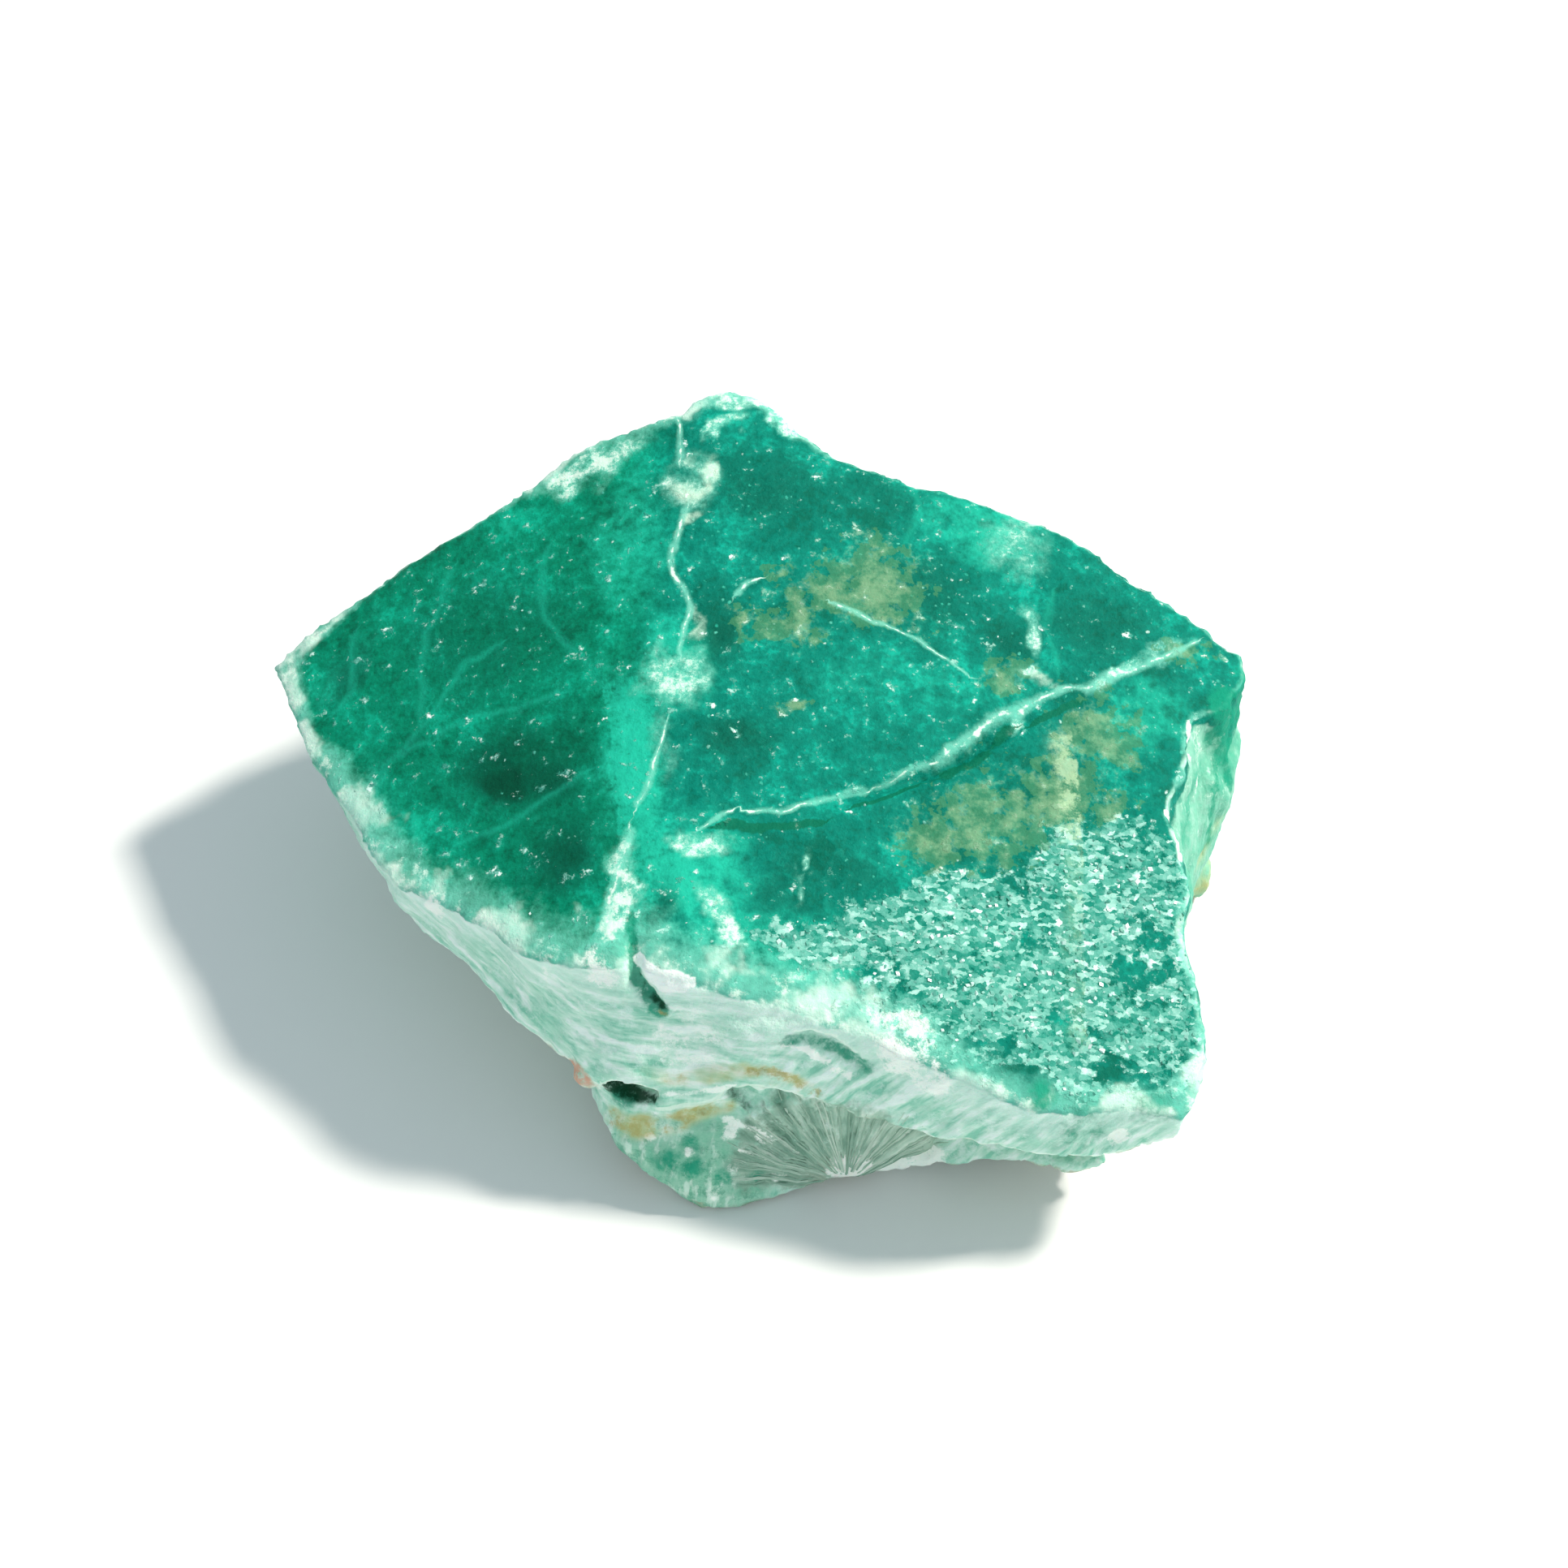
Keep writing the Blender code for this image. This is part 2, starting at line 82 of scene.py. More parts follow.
# Soft spots on the top face: x, y, radius one way, radius the other way, turn in degrees,
# and strength.
DARK_SPOTS = [  # deep, clear crystal
    (-12.1, -2.7, 4.6, 3.6, -5, 0.75), (-12.9, -3.8, 2.4, 2.0, 0, 1.0),
    (-9.9, -8.0, 3.4, 3.4, 0, 0.6), (-14.6, 6.2, 6.2, 5.4, -10, 0.4),
    (-22.6, 5.2, 1.4, 2.7, -5, 0.5), (0.6, 13.4, 5.6, 3.2, -8, 0.45),
    (-2.1, 4.4, 1.9, 3.6, 0, 0.6), (-1.0, -1.8, 2.6, 2.3, 35, 0.55),
    (9.7, 7.4, 3.2, 3.0, 0, 0.45), (13.9, 5.3, 2.0, 1.3, -18, 0.6),
    (18.6, 6.5, 3.2, 3.0, -15, 0.45), (3.4, -9.4, 4.6, 1.9, 13, 0.5),
    (-4.7, -11.9, 1.3, 2.0, 0, 0.45), (6.6, 14.0, 4.0, 1.6, -11, 0.4),
]
AQUA_SPOTS = [  # brighter blue-green bands
    (-6.4, -2.9, 1.6, 6.2, 4, 0.9), (-6.6, 10.6, 2.8, 6.4, 5, 0.5),
    (-4.2, 2.6, 2.6, 3.6, 0, 0.7), (-2.8, -9.6, 3.4, 3.6, 0, 0.85),
    (12.9, 12.0, 4.2, 2.6, -12, 0.6), (10.6, 2.2, 4.6, 2.2, -15, 0.3),
    (1.0, -13.0, 6.0, 2.6, -8, 0.7), (-23.6, 4.6, 1.3, 5.0, -40, 0.35),
    (-19.6, -3.2, 1.6, 5.6, 38, 0.4), (6.0, 2.0, 4.5, 2.0, 20, 0.3),
    (21.2, 1.0, 3.6, 2.8, 20, 0.5),
]
MILKY_SPOTS = [  # clouded white crystal
    (-8.9, 16.0, 3.0, 1.4, 24, 1.2), (-2.2, 19.4, 2.6, 1.0, 0, 1.1),
    (1.5, 18.3, 2.2, 0.6, -42, 1.5), (-1.6, 17.2, 1.8, 0.45, 40, 1.2),
    (-4.2, 1.6, 1.9, 2.0, 0, 0.9), (-4.7, -2.6, 1.0, 3.2, 6, 0.4),
    (-3.1, -7.8, 1.6, 0.8, 0, 1.2), (-6.9, -10.9, 0.75, 3.4, -8, 1.15),
    (-1.5, -12.2, 0.6, 2.0, 15, 1.1), (14.3, 11.2, 2.6, 2.1, 0, 0.6),
    (15.4, 5.9, 0.6, 1.8, 0, 0.95), (15.0, 3.1, 1.1, 0.6, 0, 0.9),
    (7.6, -16.9, 3.2, 1.2, -24, 1.25), (3.2, -15.2, 2.4, 0.7, -16, 0.7),
    (-20.4, -4.3, 0.6, 4.4, 36, 0.6), (-16.4, -8.9, 2.2, 0.6, -36, 0.9),
    (-11.4, -12.4, 3.0, 0.6, -38, 0.6), (22.4, 5.2, 2.6, 0.6, 26, 0.6),
    (19.5, -19.6, 3.0, 0.5, 4, 0.7), (13.9, 0.6, 1.3, 0.45, 30, 1.15),
    (19.6, 3.6, 2.4, 0.5, 27, 1.1), (2.0, -9.8, 0.3, 0.9, 0, 0.9), (2.9, -9.1, 0.3, 1.1, 5, 0.9),
    (-3.4, 13.6, 1.3, 2.2, -10, 0.7),
]
CREAM_SPOTS = [  # pale yellowish crystal
    (-3.2, 13.9, 0.7, 1.5, -10, 1.3), (-3.9, 10.9, 0.35, 1.5, -18, 1.0),
    (-3.4, 5.2, 0.45, 1.3, 10, 0.9), (15.6, 2.8, 0.7, 0.5, 0, 1.0),
]
OLIVE_SPOTS = [  # ragged olive stain
    (6.4, 8.0, 2.3, 2.4, -10, 1.0), (4.6, 6.9, 1.8, 1.2, 0, 0.95), (1.8, 5.2, 1.5, 1.2, 10, 1.0),
    (1.2, 7.7, 1.0, 0.8, 0, 0.75), (-0.6, 4.9, 0.6, 0.6, 0, 0.8), (1.6, 0.2, 0.75, 0.5, 15, 1.1),
    (13.7, 3.1, 1.5, 1.3, 0, 0.75), (12.2, -5.3, 3.3, 2.2, 20, 0.95),
    (15.6, -4.0, 2.1, 1.8, 5, 0.95), (9.4, -7.5, 1.5, 1.4, 5, 0.9), (18.4, 0.0, 1.7, 2.1, 0, 1.0),
    (18.6, -4.1, 1.1, 0.7, 4, 0.9), (23.4, 5.3, 1.4, 0.6, 16, 0.9),
]
FROST_SPOTS = [  # where cleavage grains stand close together
    (9.2, -11.6, 6.6, 2.6, 16, 1.0), (18.2, -9.6, 5.6, 5.2, 0, 1.0),
    (12.6, -15.2, 8.0, 3.6, 0, 1.0), (20.6, -15.4, 3.2, 4.4, 0, 0.9),
    (3.4, -12.9, 4.0, 1.5, -6, 0.9), (15.4, -18.2, 6.4, 2.2, -4, 0.9),
]
BARE_SPOTS = [  # clear crystal among the frost
    (19.6, -13.3, 2.1, 1.3, 0, 0.75), (14.3, -20.0, 1.6, 0.8, -6, 1.0),
    (18.4, -18.6, 2.0, 0.8, 4, 0.9), (20.5, -11.2, 1.8, 1.0, 4, 0.7),
    (12.4, -18.0, 1.4, 0.7, 0, 0.6), (16.0, -16.2, 1.2, 0.7, 10, 0.6),
]
# How far the outlines of the marks wander, and over what length. Each is (reach, length).
SPOT_WANDER = ((1.0, 2.6), (0.45, 0.9))
LINE_WANDER = ((0.25, 1.6),)
MARK_WANDER = ((0.12, 0.9),)

# Lines on the top face. Each has its corners (x, y), and its half width at each end.
VEINS = [
    ([(-4.5, 18.6), (-4.3, 16.3), (-4.1, 15.2)], 0.05, 0.07),
    ([(-3.8, 11.9), (-4.2, 10.4), (-4.5, 8.7), (-3.8, 6.8), (-3.4, 5.8), (-3.7, 4.4), (-3.9, 3.0)],
     0.07, 0.05),
    ([(-4.6, -1.0), (-5.0, -3.2), (-5.6, -5.0), (-6.0, -6.0)], 0.03, 0.07),
    ([(-6.3, -7.4), (-6.6, -9.4), (-7.2, -11.0), (-7.3, -12.6)], 0.09, 0.09),
    ([(-2.7, -7.2), (-2.0, -6.7), (-1.2, -6.3)], 0.04, 0.06),
    ([(-0.4, -6.2), (1.1, -5.9), (3.0, -5.3), (4.5, -4.8), (5.9, -4.3)], 0.05, 0.06),
    ([(6.4, -4.0), (7.7, -3.3), (9.1, -2.6)], 0.04, 0.08),
    ([(9.7, -2.3), (10.8, -1.3), (12.2, -0.1), (13.8, 0.9), (15.2, 1.7)], 0.11, 0.12),
    ([(15.2, 1.7), (16.8, 2.3), (17.6, 2.5)], 0.07, 0.06),
    ([(17.8, 2.5), (19.6, 3.5), (21.7, 4.5), (22.8, 5.2), (24.2, 5.9)], 0.11, 0.05),
    ([(4.4, 6.4), (6.2, 5.7), (7.6, 5.2), (8.9, 4.7), (10.7, 3.6), (11.6, 2.9)], 0.06, 0.03),
    ([(-0.8, 6.7), (-0.5, 7.3), (0.1, 7.6)], 0.06, 0.06),
]
HAIRLINE_HALF_WIDTH = 0.16
HAIRLINES = [(path, HAIRLINE_HALF_WIDTH, HAIRLINE_HALF_WIDTH) for path in (
    # Healed cracks, a little paler than the crystal.
    [(-14.3, 14.1), (-13.6, 12.5)],
    [(-11.4, 10.9), (-11.7, 9.7), (-11.5, 6.7), (-10.5, 4.9), (-9.1, 3.1), (-8.2, 1.6)],
    [(-16.9, 10.9), (-17.4, 8.5), (-18.2, 7.1), (-18.2, 4.4), (-18.0, 2.4), (-18.2, 0.6),
     (-20.1, -1.3)],
    [(-22.2, 7.7), (-22.4, 6.1), (-22.0, 4.1), (-23.0, 3.1)],
    [(-10.3, 1.3), (-12.4, 1.0), (-14.5, 0.9), (-16.9, 0.5)],
    [(-15.7, -6.8), (-13.5, -6.0), (-12.1, -5.6), (-10.7, -4.8), (-8.8, -3.7)],
    [(-20.4, -3.1), (-19.4, -0.6), (-18.5, -0.1), (-17.5, 0.0)],
    [(-13.8, 5.3), (-15.5, 4.5), (-17.0, 2.2), (-18.2, 0.6)],
    [(16.4, 8.2), (15.9, 6.3), (16.5, 3.6)],
    [(8.7, 14.6), (9.2, 13.3), (9.0, 12.1), (8.1, 10.8)],
)]
# The step between the left face's deep green and the pale band beside the fold.
FOLD_BAND = [(-8.2, 1.9), (-7.6, -0.6), (-7.6, -3.3), (-7.0, -5.9), (-6.9, -8.1), (-7.3, -10.8),
             (-8.2, -13.7)]

# A straight fault, pale on its left, that fades towards the front.
FAULT = [(16.8, -16.5), (16.9, -12.0), (17.1, -8.0), (17.2, -4.0), (17.1, -1.5), (16.7, 0.8)]

# The trough below the groove's white lip, painted dark green as its shade: corners (x, y), and
# half widths at its ends.
TROUGHS = [
    ([(-1.6, -7.1), (0.2, -7.0), (1.8, -6.8), (3.4, -6.3)], 0.30, 0.20),
    ([(5.2, -5.5), (6.8, -4.8), (8.6, -3.9)], 0.12, 0.16),
    ([(10.2, -3.0), (11.4, -2.2), (12.2, -1.6)], 0.30, 0.36),
    ([(13.0, -0.7), (13.6, -0.2)], 0.34, 0.34), ([(14.9, 0.4), (17.3, 1.5)], 0.16, 0.24),
]

# The edge of the top face: x, y, how far the pale border reaches in over it, and how far the
# green reaches down below it, in millimetres.
# The pale border is partly pale crystal and partly painted glow of light through the thin edge.
EDGES = [
    (-26.0, 5.0, 0.35, 0.9), (-20.5, -5.0, 1.3, 0.3), (-14.0, -11.0, 1.6, 0.3),
    (-8.0, -13.6, 2.0, 0.3), (-3.0, -14.6, 2.0, 0.4), (2.0, -15.8, 2.4, 0.4),
    (7.0, -17.4, 2.2, 0.4), (13.0, -20.0, 1.4, 0.4), (19.0, -20.0, 1.0, 0.4),
    (22.6, -15.0, 0.3, 1.8), (22.0, -5.0, 0.25, 1.0), (23.7, 0.4, 0.25, 0.5),
    (26.4, 3.6, 0.2, 3.6),
    (20.0, 9.8, 0.2, 1.2), (8.0, 14.8, 0.2, 1.2), (-1.0, 19.6, 0.7, 1.0), (-9.0, 17.4, 0.7, 1.2),
    (-18.0, 12.4, 0.2, 1.2),
]

ON_TOP = 0.3  # a vertex whose share of the top face is this or more is on it
RIM_DEPTH = 2.5  # how far down the rim the sides are still near the edge

# Marks on the sides. Spots have x, y, z, radius and strength; lines have their corners
# (x, y, z), their half widths at the two ends, and their strength.
LIMONITE_SPOTS = [
    (-7.0, -17.5, 5.4, 0.9, 1.0), (-4.6, -18.1, 6.0, 0.8, 0.7), (-2.9, -17.8, 6.9, 0.6, 1.5),
    (1.0, -17.8, 10.0, 0.7, 0.8), (2.6, -18.1, 9.6, 0.6, 0.8), (-4.5, -15.9, 13.1, 0.4, 1.3),
    (25.4, 0.8, 2.0, 1.9, 0.9), (25.2, -0.9, 5.6, 1.6, 0.45), (26.0, 0.6, 7.2, 1.2, 0.35),
]
LIMONITE_LINES = [
    ([(-5.3, -17.2, 9.7), (-4.0, -17.4, 9.3), (-2.8, -17.5, 9.6), (-1.5, -17.6, 10.2)],
     0.45, 0.6, 0.6),
    ([(-1.5, -17.6, 10.2), (-0.3, -17.6, 10.6), (0.9, -17.8, 10.6), (2.2, -18.0, 10.1),
      (3.1, -18.2, 9.4)], 0.6, 0.4, 0.65),
    ([(-7.2, -17.4, 5.3), (-6.2, -18.0, 5.4), (-3.9, -18.1, 6.2), (-2.9, -17.8, 6.9),
      (-1.4, -17.6, 7.2)], 0.9, 0.6, 0.9),
    ([(0.0, -17.6, 10.5), (1.1, -17.8, 10.6), (2.1, -18.0, 10.2), (3.3, -18.3, 9.3)],
     0.42, 0.36, 1.1),
]
PINK_SPOTS = [(-8.9, -16.0, 7.6, 1.3, 1.0)]
WHITE_SPOTS = [  # clean white crystal
    (-7.6, -14.7, 14.9, 1.3, 0.9), (-8.0, -14.2, 15.6, 0.9, 0.7),
    (7.4, -18.4, 12.9, 1.9, 0.9), (9.0, -19.0, 12.1, 1.5, 0.9), (18.5, -20.6, 9.0, 0.75, 1.3),
    (-16.3, -9.4, 13.2, 0.9, 1.0), (-10.5, -13.6, 13.6, 1.0, 0.5), (-3.4, -16.6, 11.6, 3.4, 0.5),
    (5.2, -18.8, 2.2, 1.7, 1.3), (7.4, -18.1, 1.8, 1.7, 1.3), (9.1, -18.1, 2.1, 1.4, 1.2),
    (-5.4, -18.3, 5.0, 0.45, 1.0),
    (-1.2, -18.3, 5.6, 0.8, 0.7), (0.4, -18.6, 5.2, 0.6, 0.7), (-1.0, -19.3, 3.4, 0.6, 0.6),
    (1.3, -19.1, 2.2, 0.6, 0.6), (-2.1, -19.9, 1.9, 0.8, 0.6), (-3.4, -18.9, 4.4, 0.5, 0.7),
]
WHITE_LINES = [
    ([(21.6, -4.2, 14.9), (22.1, -4.6, 13.9), (22.3, -6.1, 14.1), (22.4, -7.2, 14.0)],
     0.16, 0.2, 1.2),
    ([(23.4, 1.5, 15.3), (23.2, -0.2, 14.9), (23.7, -0.6, 13.3)], 0.16, 0.16, 0.9),
    ([(23.9, 1.2, 14.6), (24.1, 0.4, 13.2), (24.2, -0.6, 11.4)], 0.5, 0.4, 0.5),
    ([(-1.4, -18.0, 6.3), (0.1, -18.3, 5.8), (1.4, -18.5, 4.9)], 0.30, 0.12, 0.8),
    ([(-0.7, -18.8, 4.5), (1.0, -18.9, 3.4)], 0.18, 0.10, 0.7),
    ([(1.4, -17.3, 12.2), (2.6, -17.5, 12.2), (3.8, -17.9, 11.6), (4.8, -18.2, 10.9)],
     0.2, 0.3, 0.9),
    ([(-7.4, -17.8, 9.6), (-5.6, -17.9, 8.9), (-3.6, -18.0, 8.5), (-1.6, -17.8, 9.0),
      (-0.6, -17.6, 9.6)], 0.3, 0.25, 0.9),
]
FLAKES = [
    ([(-5.6, -14.4, 15.6), (-4.6, -15.0, 15.4), (-3.2, -15.4, 15.3)], 0.36, 0.36, 1.3),
    ([(-5.0, -15.0, 15.0), (-4.3, -15.4, 14.8), (-3.6, -15.5, 14.9)], 0.42, 0.34, 1.1),
]
GREEN_SPOTS = [  # green crystal that shows on the sides
    (25.6, 2.4, 15.2, 1.4, 1.3), (25.5, 1.9, 13.6, 1.4, 1.3), (25.9, 2.0, 12.0, 1.3, 1.2),
    (26.6, 4.6, 13.6, 2.4, 1.2),
    (14.3, -20.1, 12.2, 1.0, 0.9), (20.0, -20.4, 11.0, 1.6, 0.5),
    (-6.7, -17.0, 7.0, 1.0, 1.0), (-3.2, -19.4, 3.6, 0.9, 0.9), (-1.6, -19.6, 2.8, 0.8, 0.9),
    (0.1, -19.3, 2.6, 0.6, 0.7), (-3.2, -18.7, 4.9, 0.8, 0.7), (-4.6, -18.8, 3.6, 1.4, 0.6),
    (16.6, -20.6, 10.0, 2.6, 0.45),
]
# Green crystal at the right corner, and painted green shade in the crescent nick and the top of
# the crack in the rim.
GREEN_AND_SHADE_LINES = [
    ([(1.6, -17.1, 12.4), (2.4, -17.0, 12.6), (3.6, -17.1, 12.4), (4.8, -17.5, 11.9),
      (5.8, -18.0, 11.4)], 0.35, 0.4, 0.7),
    ([(-6.1, -12.0, 16.3), (-6.0, -12.9, 16.1), (-6.0, -13.6, 15.8), (-5.9, -14.2, 15.2),
      (-5.7, -14.7, 14.4), (-5.2, -15.2, 13.8), (-4.7, -15.7, 13.3)], 0.15, 0.55, 1.1),
    ([(25.2, 1.0, 11.4), (25.1, -0.3, 9.6), (25.4, -0.3, 6.6)], 0.5, 0.3, 0.7),
    ([(26.2, 1.4, 10.6), (26.5, 1.1, 7.6)], 0.4, 0.4, 0.7),
]
# Painted shade: near-black spots and lines where shade falls in the pit, the crack in the rim and
# the spray's gaps.
PAINTED_SHADE_SPOTS = [(-6.4, -16.7, 7.2, 0.8, 1.0)]
PAINTED_SHADE_LINES = [  # painted shade inside the pit and the crack in the rim, and in the gaps in the spray
    ([(-7.2, -16.6, 7.6), (-6.6, -16.8, 7.3), (-5.8, -17.2, 7.3), (-5.1, -17.6, 7.6)],
     0.7, 0.25, 1.2),
    ([(-5.7, -14.5, 14.9), (-5.4, -14.9, 14.2), (-4.9, -15.3, 13.8), (-4.5, -15.6, 13.5)],
     0.06, 0.3, 1.0),
    ([(-1.1, -17.3, 7.8), (-0.4, -17.7, 7.3), (0.6, -18.1, 6.4), (1.6, -18.4, 5.2)],
     0.40, 0.12, 0.6),
    ([(-0.4, -17.4, 8.4), (0.6, -18.0, 7.5), (1.8, -18.3, 6.0)], 0.34, 0.10, 0.6),
    ([(0.6, -17.7, 8.8), (1.5, -18.0, 7.6), (2.4, -18.3, 6.2)], 0.30, 0.10, 0.5),
    ([(2.4, -18.1, 8.4), (3.0, -18.4, 6.4)], 0.24, 0.08, 0.45),
    ([(8.8, -18.4, 4.7), (9.6, -18.4, 5.2)], 0.5, 0.3, 0.4),
]

# How the fibres of the sides run in each part, the middle of that part, and its reach.
FIBRE_RUNS = {
    "front": ((0.62, 0.0, 0.78), (12.0, -20.0, 10.0), 12.0),
    "lip": ((0.97, -0.22, 0.05), (-4.5, -16.0, 11.5), 6.5),
    "left": ((0.73, -0.58, -0.37), (-15.0, -11.0, 11.0), 9.0),
    "lobe": ((0.1, 0.0, 0.99), (-4.0, -19.0, 3.5), 5.0),
    "upright": ((0.12, 0.08, 0.99), (20.0, 6.0, 8.0), 14.0),
}
FIBRE_LENGTH = 2.8
FIBRE_WIDTH = 0.5

# How much of the way to the middle of its neighbours a vertex moves in each round: everywhere,
# and how much more on the flat of the top face.
SIDE_SMOOTHING = 0.15
TOP_SMOOTHING = 0.5
SMOOTHING_ROUNDS = 8

# The relief, in millimetres: length and width of the ridges along the fibres, the two sizes of
# the grain, and the size and height of the knobs on the underside.
RIDGE_SIZE = (4.5, 0.75)
FINE_GRAIN = 0.55
COARSE_GRAIN = 2.2
KNOB_SIZE = 1.9
KNOB_HEIGHT = 0.28
BOX_MARGIN = 0.005  # how far inside the CAD model's box the relief stays

# The noises that colour the stone, from its clouds to its thick and thin parts. Each is its
# size in millimetres, its detail and its roughness.
STONE_NOISES = ((3.4, 4.0, 0.55), (0.85, 5.0, 0.65), (0.3, 3.0, 0.65), (1.1, 6.0, 0.8),
                (0.8, 3.0, 0.62), (2.2, 3.0, 0.5))
FROST_FACE = 0.24  # width of a cleavage face in the frost
SPECK_CELL = 0.34  # width of the cell that a loose cleavage face may stand in
MOST_GRAINS = 2.6e7  # cleavage grains per square metre, before their spacing thins them
# A cleavage rhomb is a cube that is turned to stand on a corner and then pressed flat.
ON_ITS_CORNER = (0.9553, 0.0, 0.7854)
RHOMB_SHAPE = (1.4, 1.0, 0.6)
SMITHSONITE_IOR = 1.62

# The spray of fibre crystals: its root, the angles that it fans through from left to right,
# and how long its fibres are at its two sides and in its middle.
SPRAY_ROOT = (4.9, -18.8, 1.0)
SPRAY_FAN = (math.radians(172), math.radians(22))
SPRAY_LENGTH = (6.4, 9.0)
SPRAY_DROP = 0.6  # how far below the root its streaks of colour start

KEY_WAY = (-0.593, -0.149, -0.791)  # the way that the key light travels
KEY_DISTANCE = 600.0
FILL_WAY = (-0.1, 0.95, -0.3)
FILL_DISTANCE = 400.0
FILL_WIDTH = 200.0
CAMERA_TARGET = (1.427, 8.669, 0.0)
CAMERA_DISTANCE = 148.0
CAMERA_RISE = 52.0
CAMERA_LENS = 55.9
CAMERA_SENSOR = 36.0
CAMERA_CLIP = 5.0  # nothing nearer than this is drawn


def linear(colour):
    """The linear colour of an sRGB hex value. A colour that is numbers already is kept."""
    if not isinstance(colour, str):
        return colour
    shares = [int(colour[i:i + 2], 16) / 255 for i in (1, 3, 5)]
    return tuple(s / 12.92 if s <= 0.04045 else ((s + 0.055) / 1.055) ** 2.4 for s in shares)


def colour_setting(name, code, description):
    """A colour that the user can change."""
    return bpy.props.FloatVectorProperty(
        name=name, description=description, subtype="COLOR", size=3, min=0.0, max=1.0,
        default=linear(code))


def length_setting(name, millimetres, description):
    """A length that the user can change, in metres."""
    return bpy.props.FloatProperty(
        name=name, description=description, unit="LENGTH", precision=5, min=0.0,
        default=millimetres * MM)


class StoneSettings(bpy.types.PropertyGroup):
    """Sizes and colours of the stone's body."""

    mesh_size: length_setting("Mesh size", 0.27, "Side of the faces that carry the relief")
    top_relief: length_setting("Top relief", 0.06, "Height of the roughness of the top face")
    rim_relief: length_setting("Rim relief", 0.16, "Height of the ridges of the fibrous sides")
    deep_green: colour_setting("Deep green", "#013E2A", "Thick, clear crystal")
    body_green: colour_setting("Body green", "#038567", "The left part of the top face")
    teal: colour_setting("Teal", "#047F6D", "The right part of the top face")
    aqua: colour_setting("Aqua", "#22BC9E", "The bright bands beside the fold")
    milk: colour_setting("Milky white", "#E6F7EA", "Clouded crystal and veins")
    cream: colour_setting("Cream", "#CFEBD6", "Pale yellowish crystal")
    mint: colour_setting("Mint", "#D0EEDF", "The fibrous sides")
    olive: colour_setting("Olive", "#44835A", "Stained patches of the top face")
    limonite: colour_setting("Limonite", "#CDC27C", "Iron stain at the lip and in the recess")
    rust: colour_setting("Rust", "#9A7A4E", "The underside")


class FrostSettings(bpy.types.PropertyGroup):
    """Sizes of the cleavage grains."""

    grain_size: length_setting("Grain size", 0.19, "Side of a cleavage grain")
    spacing: length_setting("Spacing", 0.27, "Least distance between two grains")
    seed: bpy.props.IntProperty(name="Seed", description="Which grains are made", default=4)


class SpraySettings(bpy.types.PropertyGroup):
    """Sizes of the fibre crystals."""

    fibres: bpy.props.IntProperty(name="Fibres", description="How many fibres fan out",
                                  default=70, min=2)
    thickness: length_setting("Thickness", 0.06, "Half the width of a fibre")
    seed: bpy.props.IntProperty(name="Seed", description="Which fibres are made", default=2)


class StageSettings(bpy.types.PropertyGroup):
    """The floor and the lights."""

    floor_width: length_setting("Floor width", 3000.0, "Side of the square floor")
    floor_colour: colour_setting("Floor colour", "#F1F2F2", "Matt pale tabletop")
    key_power: bpy.props.FloatProperty(name="Key power", description="Strength of the key light",
                                       default=4.4, min=0.0, unit="POWER")
    key_width: length_setting("Key width", 70.0, "Side of the square key light")
    fill_power: bpy.props.FloatProperty(name="Fill power", default=0.16, min=0.0, unit="POWER",
                                        description="Strength of the soft light in front")
    sky_colour: colour_setting("Sky colour", "#B6C3C8", "Soft light from all round")
    sky_strength: bpy.props.FloatProperty(name="Sky strength", default=1.0, min=0.0,
                                          description="Strength of the light from all round")


def add(tree, kind, *values, named=None, stops=(), **settings):
    """Adds a node with its settings and links.

    Values go into its enabled inputs, in order or by name. Stops are the positions and
    colours of a ramp.
    """
    node = tree.nodes.new(kind)
    for key, value in settings.items():
        setattr(node, key, value)
    for spot, (position, colour) in enumerate(stops):
        elements = node.color_ramp.elements
        if spot == 0:
            elements.remove(elements[1])
            elements[0].position = position
        element = elements[0] if spot == 0 else elements.new(position)
        element.color = (*linear(colour), 1.0)
    fill(tree, node, values, named or {})
    return node


def fill(tree, node, values, named):
    """Sets or links the enabled inputs of a node, in order and by name.

    A value is an output, a node (which stands for its first enabled output), a constant, a
    colour, or None for an input that is left alone.
    """
    enabled = [socket for socket in node.inputs if socket.enabled]
    pairs = list(zip(enabled, values))
    pairs += [(next(s for s in enabled if s.name == name), value)
              for name, value in named.items()]
    for socket, value in pairs:
        if isinstance(value, bpy.types.Node):
            value = next(output for output in value.outputs if output.enabled)
        if isinstance(value, bpy.types.NodeSocket):
            tree.links.new(value, socket)
        elif value is not None:
            socket.default_value = (*linear(value), 1.0) if socket.type == "RGBA" else value


def weighted_sum(tree, start, *parts):
    """A start value, with each part added to it times its weight."""
    for part, weight in parts:
        start = add(tree, "ShaderNodeMath", part, weight, start, operation="MULTIPLY_ADD")
    return start


def layered(tree, colour, layers):
    """A colour with others laid over it. Each layer has its share and its colour."""
    for share, layer in layers:
        colour = add(tree, "ShaderNodeMix", share, colour, layer, data_type="RGBA")
    return colour


def new_material(name):
    """A material, its node tree, and its Principled shader."""
    material = bpy.data.materials.new(name)
    material.use_nodes = True
    return material, material.node_tree, material.node_tree.nodes["Principled BSDF"]


# ---------------------------------------------------------------- places and fields


def smooth(values, low, high):
    """0 at low and 1 at high, with a smooth rise between them."""
    share = np.clip((values - low) / (high - low), 0, 1)
    return share * share * (3 - 2 * share)


def noise_at(places, size, octaves=3):
    """Noise of about this size, from about -1 to 1, at each place."""
    return np.array([noise.fractal(Vector(place), 1.0, 2.0, octaves) for place in places / size])


def fibres_at(places, run, length, width):
    """Noise drawn out along one direction, as fibres are."""
    run = np.array(run) / np.linalg.norm(run)
    along = (places @ run)[:, None] * run
    return noise_at((places - along) / width + along / length, 1.0, 2)


